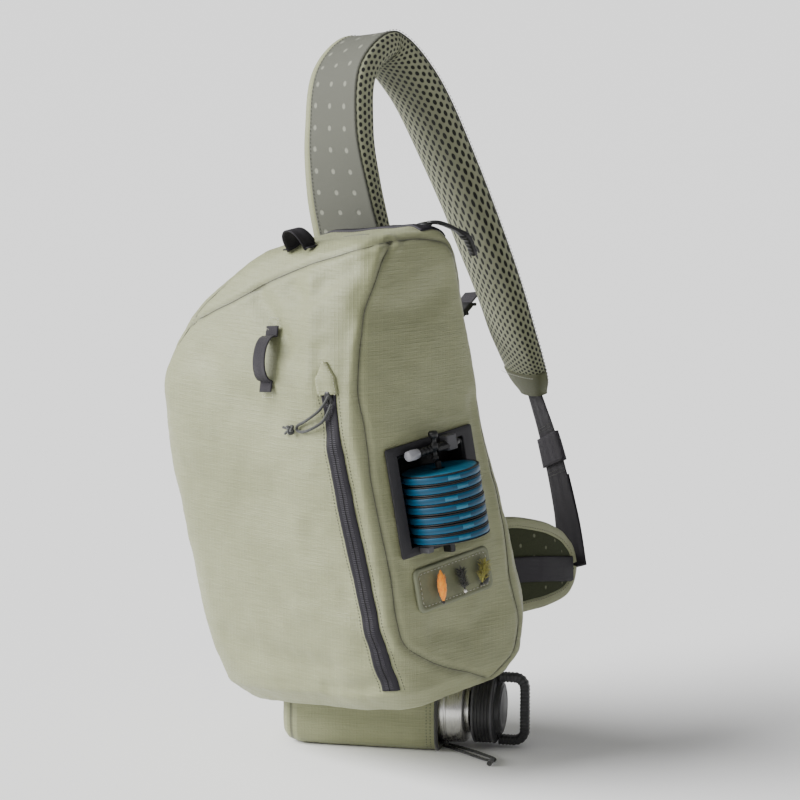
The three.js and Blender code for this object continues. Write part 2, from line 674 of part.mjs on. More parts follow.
const strapEnd = shoulderStations[strapSteps];
const padStations = hipPadStations(14);
const padTip = padStations[padStations.length - 1];
const strapEndAlong = strapEnd.across.clone().cross(strapEnd.normal);
const webStart = strapEnd.place.clone().addScaledVector(strapEndAlong, 2 * seat)
  .addScaledVector(strapEnd.normal, strapEnd.thick * 0.3);
const webEnd = padTip.place.clone().addScaledVector(padTip.normal, padTip.thick / 2)
  .add(vec(0, webbingThickness + 1, -3));
const webRows = [
  { turn: -20, wide: 1, thick: 1 },
  { turn: -10, wide: 1, thick: 1 },
  { turn: 0, wide: 1, thick: 1 },
  { turn: 20, wide: 1, thick: 1 },
];
const webPlaces = [
  webStart,
  webStart.clone().lerp(webEnd, 0.33).add(vec(0, 6, 0)),
  webStart.clone().lerp(webEnd, 0.7).add(vec(-2, 8, 0)),
  webEnd,
];
const webSteps = 18;
const webStations = stationsAlong(webRows, webPlaces, webSteps, webbingWidth, webbingThickness);
Object.assign(webStations[0], { across: strapEnd.across, normal: strapEnd.normal });
addPiece(bag, 'strap_webbing', ribbon(webStations), materials.webbing);

// Keeper: a band round the webbing
const keeperRoom = 0.6;
const keeperWall = 1.6;
function keeperBand(from, to, grow) {
  return ribbon(webStations.slice(from, to + 1).map((station) => ({
    ...station,
    place: station.place.clone().addScaledVector(station.normal, -grow),
    width: station.width + 2 * grow,
    thick: station.thick + 2 * grow,
  })));
}
const keeper = toSolid(keeperBand(5, 8, keeperRoom + keeperWall)).subtract(toSolid(keeperBand(4, 9, keeperRoom)));
addPiece(bag, 'webbing_keeper', fromSolid(keeper), materials.webbing);

// Webbing on the hip pad's face, from the back to the tip
const padWebWidth = 22;
const padWebStations = padStations.slice(2, 12).map((station) => ({
  ...station,
  place: station.place.clone().addScaledVector(station.normal, -seat - webbingThickness).add(vec(0.4, 0, -4)),
  width: padWebWidth,
  thick: webbingThickness,
}));
addPiece(bag, 'pad_webbing', ribbon(padWebStations), materials.webbing);

// Stay: webbing from the back's upper corner to the strap
const stayWidth = 20;
const stayRow = 28;
const stayHome = shoulderStations[stayRow];
const stayEnd = stayHome.place.clone().addScaledVector(stayHome.across, -stayHome.width / 2 - stayWidth / 2 - 2 * seat)
  .addScaledVector(stayHome.normal, stayHome.thick * 0.5);
const stayX = bodyMiddle.x - bodyWidth * 0.1;
const stayZ = bodyHeight * 0.6;
const stayStart = vec(stayX, backAt(stayX, stayZ) - webbingThickness, stayZ);
const staySteps = 8;
const stayRun = stayEnd.clone().sub(stayStart);
const stayAcross = vec(1, 0, 0).addScaledVector(stayRun, -stayRun.x / stayRun.lengthSq()).normalize();
const stayNormal = stayRun.clone().cross(stayAcross).normalize();
const stayStations = Array.from({ length: staySteps + 1 }, (_, k) => {
  const share = k / staySteps;
  const place = stayStart.clone().addScaledVector(stayRun, share).add(vec(0, 0, -5 * Math.sin(Math.PI * share)));
  return { place, across: stayAcross, normal: stayNormal, width: stayWidth, thick: webbingThickness };
});
addPiece(bag, 'strap_stay', offBody(ribbon(stayStations)), materials.webbing);

// Pull cord of the front zip: out to its knot and back to the slider, on the front
const cordStepLength = 5;
function cordSteps(points) {
  let length = 0;
  for (let k = 1; k < points.length; k++) length += vec(...points[k]).distanceTo(vec(...points[k - 1]));
  return Math.round(length / cordStepLength);
}
// Chosen route: x and z on the bag, and how far the cord stands off the front
const pullRoute = [
  [91, 266, 4.4], [86, 260, 4.6], [79, 254, 4.4], [70, 249, 3.5], [60, 245, 2.6], [54, 243, 2.4],
  [53, 239, 2.4], [60, 238, 2.6], [70, 240, 3.5], [81, 245, 4.6], [88, 252, 4.6], [93, 259, 4.4],
];
const pullPoints = pullRoute.map(([x, z, off]) => [x, frontAt(x, z) - off, z]);
addPiece(bag, 'front_pull_cord', cordTube(pullPoints, pullCordDiameter, cordSteps(pullPoints)), materials.cord);
const ball = (radius) => closedLathe(toTable([[0, -radius], [radius * 0.7, -radius * 0.7], [radius, 0],
  [radius * 0.7, radius * 0.7], [0, radius]]), 10);
const pullKnot = addPiece(bag, 'front_pull_knot', ball(pullKnotRadius), materials.cord);
pullKnot.position.set(47.5, frontAt(47.5, 240) - pullKnotRadius - 0.5, 240.5);

// Bottle, sleeve and lid
const sleeveSolid = toSolid(sleeveForm(0, 0, 0));
const sleeveHollow = toSolid(sleeveForm(-sleeveWall, sleeveWall, 10));
addPiece(base, 'bottle_sleeve', fromSolid(sleeveSolid.subtract(sleeveHollow)), materials.fabric);
addPiece(base, 'bottle', alongSleeve(closedLathe(bottleProfile(), roundSides), bottleStart), materials.steel);

const lidWall = 2.4;
const neckClearance = 0.5;
const lidBore = bottleRadius * 0.72 + neckClearance;
const knobTop = lidHeight + knobHeight;
const lidProfile = toTable([[0, 5], [lidBore, 5], [lidBore, seat - 4], [lidRadius - 2, seat], [lidRadius, 2],
  [lidRadius, lidHeight - 2], [lidRadius - 2, lidHeight], [knobRadius, lidHeight], [knobRadius, knobTop], [0, knobTop]]);
function handleRing() {
  const [w, h] = [handleReach, handleHeight / 2];
  const round = handleBar * 1.4;
  const outline = new THREE.Shape();
  outline.moveTo(0, -h).lineTo(w - round, -h).quadraticCurveTo(w, -h, w, -h + round)
    .lineTo(w, h - round).quadraticCurveTo(w, h, w - round, h).lineTo(-10, h).lineTo(-10, -h);
  const inner = new THREE.Path();
  const [gapLow, gapHigh, gapHalf] = [-6, w - handleBar, h - handleBar];
  const gapRound = round * 0.6;
  inner.moveTo(gapLow, -gapHalf).lineTo(gapLow, gapHalf).lineTo(gapHigh - gapRound, gapHalf)
    .quadraticCurveTo(gapHigh, gapHalf, gapHigh, gapHalf - gapRound).lineTo(gapHigh, -gapHalf + gapRound)
    .quadraticCurveTo(gapHigh, -gapHalf, gapHigh - gapRound, -gapHalf);
  outline.holes.push(inner);
  const ring = new THREE.ExtrudeGeometry(outline, { depth: handleWidth, bevelEnabled: false, steps: 1, curveSegments: 4 });
  return ring.translate(0, 0, -handleWidth / 2).rotateX(Math.PI / 2);
}
const lid = toSolid(alongSleeve(closedLathe(lidProfile, roundSides), lidStart));
const neckRoom = toSolid(alongSleeve(rod(lidBore, bottleShoulder), lidStart + 5 - bottleShoulder));
const handle = toSolid(handleRing().translate(lidStart + lidHeight, 0, bottleAxisHeight)).subtract(neckRoom);
addPiece(base, 'bottle_lid', fromSolid(lid.add(handle)), materials.plastic);

// Draw cord of the sleeve: a loose loop on the surface that the bag stands on, chosen by hand
const drawRoute = [
  [67.4, -8, 1.4], [75, -12, 1.4], [82, -16, 1.4], [90, -21, 1.4], [98, -27, 1.4], [106, -34, 1.4], [113, -40, 1.4],
  [118, -45, 1.4], [119, -50, 1.4], [114, -51, 1.4], [107, -46.5, 1.4], [99, -40, 1.4], [91, -33, 1.4], [83, -26, 1.4],
  [76, -19, 1.4], [67.4, -13, 1.4],
];
addPiece(base, 'sleeve_drawcord', cordTube(drawRoute, drawcordDiameter, cordSteps(drawRoute)), materials.cord);
const drawKnot = addPiece(base, 'drawcord_end', rod(2.2, 11).rotateX(Math.PI / 2), materials.cord);
drawKnot.rotation.set(Math.PI / 2, 0, rad(-35));
drawKnot.position.set(116.5, -52.2, 2.4);

export default group;
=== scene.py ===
"""The looks of a fishing sling bag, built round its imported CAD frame."""

import math
import random

import bpy
import numpy as np
from bpy.props import FloatProperty, FloatVectorProperty, IntProperty, PointerProperty
from mathutils import Matrix, Vector, noise
from mathutils.bvhtree import BVHTree


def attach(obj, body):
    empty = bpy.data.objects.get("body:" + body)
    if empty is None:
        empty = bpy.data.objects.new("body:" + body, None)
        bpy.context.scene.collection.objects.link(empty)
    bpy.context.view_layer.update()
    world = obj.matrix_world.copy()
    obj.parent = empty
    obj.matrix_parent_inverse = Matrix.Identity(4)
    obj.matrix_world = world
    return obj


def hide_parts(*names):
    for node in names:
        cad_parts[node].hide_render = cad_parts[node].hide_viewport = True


bl_info = {
    "name": "Fishing sling bag",
    "version": (1, 0, 0),
    "blender": (4, 5, 0),
    "location": "3D View > Sidebar > Sling bag",
    "description": "Dresses the frame of a fishing sling bag in cloth, mesh, webbing and steel",
    "category": "Object",
}

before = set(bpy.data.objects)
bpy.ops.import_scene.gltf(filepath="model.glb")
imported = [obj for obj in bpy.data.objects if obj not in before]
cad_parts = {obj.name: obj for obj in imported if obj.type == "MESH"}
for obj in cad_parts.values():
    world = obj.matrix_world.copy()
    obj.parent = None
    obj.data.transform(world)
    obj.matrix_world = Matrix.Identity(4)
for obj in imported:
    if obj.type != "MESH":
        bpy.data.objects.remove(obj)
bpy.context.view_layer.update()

# Bag and base coordinates are in millimetres; these turn them into the frame's metres.
BAG = (
    Matrix.Translation((0.027, -0.030, 0.057))
    @ Matrix.Rotation(math.radians(6), 4, "X")
    @ Matrix.Rotation(math.radians(-7), 4, "Y")
    @ Matrix.Scale(0.001, 4)
)
BOTTLE_TURN = 33
AXIS_HEIGHT = 33.4
BASE = Matrix.Rotation(math.radians(BOTTLE_TURN), 4, "Z") @ Matrix.Scale(0.001, 4)
# What later makers need of earlier ones: the body's skin, and the hip pad's tip
made_before = {}

PHOTO_WIDTH = 800
SENSOR_WIDTH = 36
FOCAL_LENGTH_PX = 2823.5
CAMERA_TARGET = (0.0160, 0.0212, 0.2955)
CAMERA_BACK = (0.6984, -0.6984, 0.1564)
CAMERA_DISTANCE = 2.4
SUN_FROM = (-0.62, -0.75, 0.62)
SUN_STRENGTH = 8.2
SUN_ANGLE = 50
WORLD_STRENGTH = 0.32
FLOOR_SIZE = 160
FLOOR_DROP = 0.0005
MERGE_DISTANCE = 0.00002
DEGENERATE_LENGTH = 0.000001


def colour(name, text, value):
    return FloatVectorProperty(
        name=name, description=text, default=value, subtype="COLOR", size=3, min=0, max=1
    )


def measure(name, text, value):
    return FloatProperty(name=name, description=f"{text}, mm", default=value)


class SlingBagSizes(bpy.types.PropertyGroup):
    body_width: measure("Body width", "Widest part of the body", 250)
    body_depth: measure("Body depth", "Depth of the body", 164)
    body_height: measure("Body height", "Height of the body", 382)
    zip_width: measure("Main zip width", "Width of the main zip's tape", 26)
    front_zip_width: measure("Front zip width", "Width of the front zip", 14)
    strap_width: measure("Strap width", "Width of the padded strap", 86)
    strap_thick: measure("Strap thickness", "Thickness of the strap's padding", 27)
    pad_height: measure("Hip pad height", "Height of the hip pad at its root", 80)
    webbing_width: measure("Webbing width", "Width of the strap's webbing", 26)
    spool_radius: measure("Spool radius", "Radius of a tippet spool", 33)
    spool_count: IntProperty(name="Spools", description="Spools on the bar", default=7, min=1, max=7)
    bottle_radius: measure("Bottle radius", "Radius of the steel bottle", 31)
    cord_width: measure("Cord diameter", "Diameter of both pull cords", 2.4)
    seam_depth: measure("Seam depth", "How far the seams sink into the padding", 1.1)
    hole_pitch: measure("Mesh hole pitch", "Distance between holes in the mesh", 9.4)


class SlingBagColours(bpy.types.PropertyGroup):
    cloth: colour("Cloth", "Coated ripstop of the body", (0.265, 0.275, 0.15))
    cloth_shade: colour("Cloth, worn in", "Ripstop where dust and handling dull it", (0.215, 0.225, 0.115))
    # Painted shade: cloth along the seams is darkened towards this colour, as shade falls in their grooves
    seam: colour("Seam", "Cloth deep in a seam", (0.05, 0.05, 0.028))
    mesh: colour("Spacer mesh", "Threads of the spacer mesh", (0.28, 0.29, 0.19))
    liner: colour("Strap liner", "Grey face of the strap", (0.10, 0.102, 0.082))
    binding: colour("Binding", "Bound edges of strap and pad", (0.10, 0.105, 0.055))
    pad_face: colour("Pad face", "Inner face of the hip pad", (0.018, 0.021, 0.009))
    zip_tape: colour("Zip", "Coated zip tape", (0.009, 0.008, 0.011))
    webbing: colour("Webbing", "Woven straps and loops", (0.017, 0.0145, 0.019))
    plastic: colour("Black plastic", "Moulded fittings", (0.004, 0.004, 0.0045))
    grey_plastic: colour("Grey plastic", "Clips and tabs", (0.065, 0.064, 0.07))
    spool: colour("Spool", "Moulded spool bodies", (0.001, 0.038, 0.078))
    steel: colour("Steel", "Brushed steel of the bottle", (0.62, 0.61, 0.59))
    cord: colour("Cord", "Braided pull cords", (0.012, 0.013, 0.011))
    patch: colour("Fly patch", "Foam of the fly patch", (0.12, 0.125, 0.07))


def sizes():
    return bpy.context.scene.sling_bag_sizes


def colours():
    return bpy.context.scene.sling_bag_colours


# Materials


class Level:
    """A node's output, with arithmetic that adds Math nodes."""

    def __init__(self, finish, socket):
        self.finish = finish
        self.socket = socket

    def apply(self, operation, *others):
        inputs = dict(enumerate((self, *others)))
        return self.finish.node("ShaderNodeMath", {"operation": operation}, inputs)

    def __add__(self, other):
        return self.apply("ADD", other)

    def __sub__(self, other):
        return self.apply("SUBTRACT", other)

    def __mul__(self, other):
        return self.apply("MULTIPLY", other)

    def __truediv__(self, other):
        return self.apply("DIVIDE", other)


class Finish:
    """A procedural material; node() adds any node to it."""

    def __init__(self, name, roughness=0.6, **constants):
        self.material = bpy.data.materials.new(name)
        self.material.use_nodes = True
        self.tree = self.material.node_tree
        self.shader = self.tree.nodes["Principled BSDF"]
        self.shader.inputs["Roughness"].default_value = roughness
        for key, value in constants.items():
            self.shader.inputs[key.replace("_", " ")].default_value = value

    def node(self, kind, settings=None, inputs=None, out=0):
        made = self.tree.nodes.new(kind)
        for key, value in (settings or {}).items():
            setattr(made, key, value)
        for key, value in (inputs or {}).items():
            self.feed(made.inputs[key], value)
        return Level(self, made.outputs[out])

    def feed(self, socket, value):
        if isinstance(value, Level):
            self.tree.links.new(value.socket, socket)
        elif socket.type == "RGBA":
            socket.default_value = (*value, 1)
        else:
            socket.default_value = value

    def place(self, out="Object"):
        return self.node("ShaderNodeTexCoord", out=out)

    def attribute(self, name):
        return self.node("ShaderNodeAttribute", {"attribute_name": name}, out="Fac")

    def scaled(self, vector, scale, turn=(0, 0, 0)):
        return self.node("ShaderNodeMapping", {}, {"Vector": vector, "Scale": scale, "Rotation": turn})

    def parts(self, vector):
        made = self.node("ShaderNodeSeparateXYZ", {}, {"Vector": vector})
        outputs = made.socket.node.outputs
        return [Level(self, outputs[number]) for number in range(3)]

    def noise(self, vector, scale, detail=3, roughness=0.55):
        inputs = {"Vector": vector, "Scale": scale, "Detail": detail, "Roughness": roughness}
        return self.node("ShaderNodeTexNoise", {}, inputs)

    def mix(self, share, first, second):
        return self.node("ShaderNodeMix", {"data_type": "RGBA"}, {0: share, 6: first, 7: second}, out=2)

    def ramp(self, value, low, high):
        """A share from 0 to 1 as value goes from low to high."""
        inputs = {"Value": value, "From Min": low, "From Max": high}
        return self.node("ShaderNodeMapRange", {}, inputs)

    def dots(self, across, down, edge, middle, flat=1):
        """Round dots where both distances from a cell's middle are small."""
        away = (across * across + down * down * flat).apply("SQRT")
        return self.ramp(away, edge, middle)

    def done(self, base, bump=None, height=0.0002, strength=0.6, roughness=None):
        self.feed(self.shader.inputs["Base Color"], base)
        if roughness is not None:
            self.feed(self.shader.inputs["Roughness"], roughness)
        if bump is not None:
            inputs = {"Height": bump, "Distance": height, "Strength": strength}
            self.feed(self.shader.inputs["Normal"], self.node("ShaderNodeBump", {}, inputs))
        return self.material


made_finishes = {}


def finish_of(name):
    """Each finish is made once, by the maker of its name."""
    if name not in made_finishes:
        made_finishes[name] = FINISHES[name]()
    return made_finishes[name]


def shaded(base, share):
    """A colour made darker or lighter by a share."""
    return tuple(min(1, share * part) for part in base)


def rows_of(place, pitch):
    """A wave of 0 to 1 that repeats every pitch of place."""
    return (place * (2 * math.pi / pitch)).apply("SINE") * 0.5 + 0.5


def cell(place):
    """The distance from the middle of the cell of size 1 that place lies in."""
    return place.apply("FRACT") - 0.5


def odd_row(place):
    """0 and 1 in turn, for every cell of size 1."""
    return place.apply("FLOOR").apply("MODULO", 2)


def cloth():
    """Coated ripstop: slubs and fine threads, a grid of thicker ones, and painted shade in the seams."""
    finish = Finish("sage ripstop", 0.5, Sheen_Weight=0.1, Specular_IOR_Level=0.45)
    tint = colours()
    spot = finish.place()
    clouds = finish.noise(spot, 9, 4)
    slubs = finish.noise(finish.scaled(spot, (35, 35, 620)), 1, 4, 0.7)
    fine = finish.noise(finish.scaled(spot, (240, 240, 2100)), 1, 2)
    x, y, z = finish.parts(spot)
    ribs = rows_of(z, 0.0031).apply("POWER", 12) * 0.5 + rows_of(x + y, 0.0042).apply("POWER", 14) * 0.5
    threads = rows_of(z, 0.0007) * rows_of(x - y, 0.0009)
    shade = finish.mix(finish.ramp(clouds, 0.35, 0.7), tint.cloth, tint.cloth_shade)
    lines = finish.ramp(slubs, 0.42, 0.72)
    shade = finish.mix(lines * 0.35 + fine * 0.12, shade, shaded(tint.cloth_shade, 0.72))
    shade = finish.mix(finish.ramp(slubs, 0.38, 0.25) * 0.25, shade, shaded(tint.cloth, 1.35))
    # Painted shade in the grooves of the seams
    shade = finish.mix(finish.attribute("seam"), shade, tint.seam)
    bump = slubs * 0.8 + fine * 0.4 + ribs * 0.35 + threads * 0.15
    return finish.done(shade, bump, 0.0009, 0.6, finish.ramp(clouds, 0.2, 0.8) * 0.15 + 0.38)


def liner():
    """Grey strap face with rows of pale dots, in UV centimetres."""
    finish = Finish("strap liner", 0.75, Sheen_Weight=0.04, Specular_IOR_Level=0.2)
    u, v, _ = finish.parts(finish.place("UV"))
    dots = finish.dots(cell(u * 0.42), cell(v * 0.52), 0.13, 0.07, 0.7)
    grain = finish.noise(finish.place(), 900, 3)
    threads = rows_of(u, 0.045) * rows_of(v, 0.05)
    base = colours().liner
    shade = finish.mix(grain * 0.5, base, shaded(base, 0.7))
    shade = finish.mix(dots * 0.7, shade, shaded(base, 2.6))
    return finish.done(shade, threads * 0.3 + grain * 0.3 - dots, 0.0006, 0.7)


def spacer_mesh():
    """Mesh with staggered columns of holes, painted dark with shade, in UV centimetres."""
    finish = Finish("spacer mesh", 0.75, Sheen_Weight=0.08, Specular_IOR_Level=0.25)
    pitch = sizes().hole_pitch / 10
    u, v, _ = finish.parts(finish.place("UV"))
    columns = u / (pitch * 0.62)
    across = cell(columns)
    down = cell(v / (pitch * 0.72) + odd_row(columns) * 0.5)
    ring = (across * across * 6.2 + down * down * 7.6).apply("SQRT")
    holes = finish.ramp(ring, 0.94, 0.76)
    threads = rows_of(u + v * 0.3, 0.055) * rows_of(v, 0.07)
    clouds = finish.noise(finish.place(), 14, 3)
    base = colours().mesh
    shade = finish.mix(clouds * 0.6, base, shaded(base, 0.8))
    shade = finish.mix(threads * 0.25, shade, shaded(base, 0.7))
    # Painted shade: the holes are darkened nearly to black, as shade inside them
    shade = finish.mix(holes, shade, (0.012, 0.012, 0.010))
    return finish.done(shade, threads * 0.25 - holes, 0.0012, 0.8)


def woven(name, base, pitch=0.1, sheen=0.03):
    """Webbing: a herringbone of threads in the piece's own UV map, which is in centimetres."""
    finish = Finish(name, 0.6, Sheen_Weight=sheen, Specular_IOR_Level=0.3)
    u, v, _ = finish.parts(finish.place("UV"))
    side = odd_row(u / 0.44) * 2 - 1
    weft = rows_of(v + side * u * 0.6, pitch)
    warp = rows_of(u, pitch * 1.1)
    grain = finish.noise(finish.place(), 700, 3)
    shade = finish.mix(weft * 0.55 + grain * 0.3, shaded(base, 0.6), shaded(base, 1.7))
    return finish.done(shade, weft + warp * 0.35 + grain * 0.2, 0.0005, 0.7)


def pad_face():
    """Dark inner face of the pad with sparse pale dots, in UV centimetres."""
    finish = Finish("pad face", 0.8, Sheen_Weight=0.03, Specular_IOR_Level=0.2)
    u, v, _ = finish.parts(finish.place("UV"))
    dots = finish.dots(cell(u * 0.62 + odd_row(v * 0.62) * 0.5), cell(v * 0.62), 0.11, 0.06)
    grain = finish.noise(finish.place(), 600, 3)
    base = colours().pad_face
    shade = finish.mix(grain, base, shaded(base, 2.2))
    shade = finish.mix(dots * 0.8, shade, shaded(colours().mesh, 0.55))
    return finish.done(shade, grain * 0.6 - dots, 0.0006, 0.7)


def zip_tape():
    """Coated zip: a centre line, close ribs across it and plain edges, in UV centimetres."""
    finish = Finish("coated zip", 0.6, Specular_IOR_Level=0.25)
    middle = finish.attribute("off_middle")
    _, v, _ = finish.parts(finish.place("UV"))
    line = finish.ramp(middle, 0.10, 0.03)
    teeth = finish.ramp(middle, 0.52, 0.40)
    edge = finish.ramp(middle, 0.86, 0.94)
    ribs = rows_of(v, 0.16)
    grain = finish.noise(finish.place(), 400, 3)
    base = colours().zip_tape
    shade = finish.mix(ribs * teeth * 0.7 + grain * 0.35, base, shaded(base, 2.4))
    shade = finish.mix(line, shade, shaded(base, 0.25))
    shade = finish.mix(edge * 0.45, shade, shaded(base, 3.2))
    return finish.done(shade, ribs * teeth * 0.7 - line * 2.2 + grain * 0.2, 0.0007, 0.7)


def moulded(name, base, roughness=0.45, wear=2.2):
    finish = Finish(name, roughness, Specular_IOR_Level=0.5)
    spot = finish.place()
    grain = finish.noise(spot, 1500, 2)
    clouds = finish.noise(spot, 60, 4)
    shade = finish.mix(finish.ramp(clouds, 0.45, 0.8) * 0.5, base, shaded(base, wear))
    rough = clouds * 0.2 + (roughness - 0.08)
    return finish.done(shade, grain + clouds * 0.5, 0.00012, 0.5, rough)


def teal_plastic():
    finish = Finish("teal plastic", 0.4, Specular_IOR_Level=0.35)
    spot = finish.place()
    clouds = finish.noise(spot, 45, 4)
    specks = finish.noise(spot, 500, 2)
    base = colours().spool
    shade = finish.mix(finish.ramp(clouds, 0.4, 0.7) * 0.5, base, shaded(base, 1.6))
    shade = finish.mix(finish.attribute("rim"), shade, (0.002, 0.075, 0.15))
    rough = specks * 0.15 + clouds * 0.15 + 0.28
    return finish.done(shade, specks, 0.00008, 0.4, rough)


# Paler teal of the labels on the spools, also laid on the top spool's face as painted light
def spool_label_and_face_light():
    finish = Finish("spool label and face light", 0.4)
    clouds = finish.noise(finish.place(), 120, 3)
    shade = finish.mix(finish.ramp(clouds, 0.4, 0.7), (0.02, 0.15, 0.24), (0.005, 0.09, 0.17))
    return finish.done(shade, clouds, 0.00005, 0.3)


def steel():
    """Steel brushed round the bottle's axis."""
    finish = Finish("brushed steel", 0.3, Metallic=1.0)
    spot = finish.scaled(finish.place(), (1, 1, 1), (0, 0, math.radians(-BOTTLE_TURN)))
    brushed = finish.noise(finish.scaled(spot, (2600, 25, 25)), 1, 3, 0.7)
    bands = finish.noise(finish.scaled(spot, (260, 2, 2)), 1, 3)
    clouds = finish.noise(spot, 40, 3)
    base = colours().steel
    shade = finish.mix(brushed * 0.4 + clouds * 0.2, base, shaded(base, 0.72))
    rough = brushed * 0.16 + bands * 0.08 + 0.16
    return finish.done(shade, brushed + bands, 0.00003, 0.4, rough)


def fine_steel():
    finish = Finish("hook wire", 0.25, Metallic=1.0)
    grain = finish.noise(finish.place(), 900, 2)
    return finish.done(finish.mix(grain, (0.45, 0.42, 0.36), (0.25, 0.22, 0.18)), grain, 0.00004, 0.3)


def dark_cord():
    finish = Finish("dark cord", 0.6, Sheen_Weight=0.25)
    u, v, _ = finish.parts(finish.place("UV"))
    lay = rows_of(v + u * 0.9, 0.22) * rows_of(v - u * 0.9, 0.22)
    grain = finish.noise(finish.place(), 800, 2)
    base = (0.028, 0.028, 0.026)
    shade = finish.mix(lay * 0.8 + grain * 0.3, shaded(base, 0.5), shaded(base, 1.7))
    return finish.done(shade, lay + grain * 0.3, 0.0004, 0.7)


def cord_braid():
    """Cord: its spiral strands follow Object coordinates, because a curve's own UV isn't in lengths."""
    finish = Finish("braided cord", 0.65, Sheen_Weight=0.25)
    x, y, z = finish.parts(finish.place())
    lay = rows_of(x + y + z * 1.2, 0.0016) * rows_of(x - y + z, 0.0018)
    grain = finish.noise(finish.place(), 900, 2)
    base = colours().cord
    shade = finish.mix(lay * 0.8 + grain * 0.3, shaded(base, 0.6), shaded(base, 2.4))
    return finish.done(shade, lay + grain * 0.3, 0.0004, 0.7)


def thread(name, base):
    finish = Finish(name, 0.6, Sheen_Weight=0.2)
    twist = finish.noise(finish.place(), 1800, 2)
    return finish.done(finish.mix(twist, base, shaded(base, 0.55)), twist, 0.0001, 0.5)


def patch_foam():
    finish = Finish("patch foam", 0.5, Specular_IOR_Level=0.4)
    spot = finish.place()
    cells = finish.node("ShaderNodeTexVoronoi", {}, {"Vector": spot, "Scale": 900})
    clouds = finish.noise(spot, 70, 4)
    base = colours().patch
    shade = finish.mix(finish.ramp(clouds, 0.35, 0.7), base, shaded(base, 1.5))
    shade = finish.mix(finish.attribute("rim"), shade, (0.17, 0.18, 0.115))
    return finish.done(shade, cells * 0.5 + clouds, 0.0002, 0.5)


def fibres(name, low, high):
    finish = Finish(name, 0.7, Sheen_Weight=0.3)
    strands = finish.noise(finish.scaled(finish.place(), (900, 900, 260)), 1, 3, 0.7)
    return finish.done(finish.mix(finish.ramp(strands, 0.3, 0.7), low, high), strands, 0.0003, 0.7)


def floor_finish():
    finish = Finish("pale floor", 0.75, Specular_IOR_Level=0.2)
    clouds = finish.noise(finish.place(), 1.2, 3)
    return finish.done(finish.mix(clouds * 0.3, (0.96, 0.96, 0.96), (0.93, 0.93, 0.93)))


FINISHES = {
    "cloth": cloth,
    "liner": liner,
    "spacer_mesh": spacer_mesh,
    "webbing": lambda: woven("webbing", colours().webbing),
    "keeper": lambda: woven("keeper webbing", shaded(colours().webbing, 1.6), 0.12),
    "binding": lambda: woven("edge binding", colours().binding, 0.12),
    "sage_binding": lambda: woven("sage binding", shaded(colours().cloth, 0.95), 0.11, 0.2),
    "pad_face": pad_face,
    "zip_tape": zip_tape,
    "lip_cloth": lambda: moulded("well lip", (0.016, 0.015, 0.018), 0.65, 1.6),
    "black_plastic": lambda: moulded("black plastic", colours().plastic),
    "lid_plastic": lambda: moulded("lid plastic", (0.020, 0.020, 0.021), 0.5, 2.6),
    "grey_plastic": lambda: moulded("grey plastic", colours().grey_plastic, 0.5, 1.5),
    "pale_plastic": lambda: moulded("pale plastic", (0.24, 0.24, 0.26), 0.45, 1.2),
    "white_bead": lambda: moulded("white bead", (0.75, 0.74, 0.70), 0.3, 1.2),
    "teal_plastic": teal_plastic,
    "spool_label_and_face_light": spool_label_and_face_light,
    "steel": steel,
    "fine_steel": fine_steel,
    "dark_cord": dark_cord,
    "cord_braid": cord_braid,
    # Thread of the dark stitches, also the painted shade in the slit on the top
    "dark_thread_and_slit_shade": lambda: thread("dark thread and slit shade", (0.06, 0.06, 0.045)),
    # Dark thread in the seams, and painted shadow in their grooves
    "seam_thread_and_shadow": lambda: thread("seam thread and shadow", shaded(colours().seam, 1.2)),
    "light_thread": lambda: thread("light thread", (0.50, 0.50, 0.40)),
    "patch_foam": patch_foam,
    "orange_fibre": lambda: fibres("orange fibre", (0.85, 0.16, 0.004), (1.0, 0.42, 0.02)),
    "black_fibre": lambda: fibres("black fibre", (0.008, 0.008, 0.006), (0.05, 0.05, 0.04)),
    "olive_fibre": lambda: fibres("olive fibre", (0.13, 0.12, 0.02), (0.55, 0.50, 0.10)),
    "floor": floor_finish,
}


# Shapes


def clear_selection():
    for thing in bpy.context.selected_objects:
        thing.select_set(False)


def select_only(piece):
    clear_selection()
    piece.select_set(True)
    bpy.context.view_layer.objects.active = piece


def placed(points, to=BAG):
    """Points in millimetres of one of the two frames, in metres of the row's frame."""
    array = np.asarray(points, float)
    turn = np.array(to.to_3x3())
    return array @ turn.T + np.array(to.translation)


def grid(name, table, to=BAG, attributes=None):
    """A smooth grid whose vertices go to the rows of table; where its edges meet they are merged."""
    table = np.asarray(table, float)
    rows, columns = table.shape[:2]
    clear_selection()
    bpy.ops.mesh.primitive_grid_add(x_subdivisions=columns - 1, y_subdivisions=rows - 1, size=2)
    piece = bpy.context.object
    piece.name = name
    mesh = piece.data
    flat = np.empty(len(mesh.vertices) * 3)
    mesh.vertices.foreach_get("co", flat)
    home = flat.reshape(-1, 3)
    column = np.rint((home[:, 0] / 2 + 0.5) * (columns - 1)).astype(int)
    row = np.rint((home[:, 1] / 2 + 0.5) * (rows - 1)).astype(int)
    mesh.vertices.foreach_set("co", placed(table[row, column], to).ravel())
    # The UV map is in centimetres, so that woven patterns keep their size
    around = np.linalg.norm(np.diff(table, axis=1), axis=2).sum(axis=1).max() / 10
    along = np.linalg.norm(np.diff(table, axis=0), axis=2).sum(axis=0).max() / 10
    layer = mesh.uv_layers.active.data
    uv = np.empty(len(layer) * 2)
    layer.foreach_get("uv", uv)
    layer.foreach_set("uv", (uv.reshape(-1, 2) * (around, along)).ravel())
    for key, values in (attributes or {}).items():
        made = mesh.attributes.new(key, "FLOAT", "POINT")
        made.data.foreach_set("value", np.asarray(values, float)[row, column])
    merge_edges(piece)
    smooth_faces(mesh)
    return piece


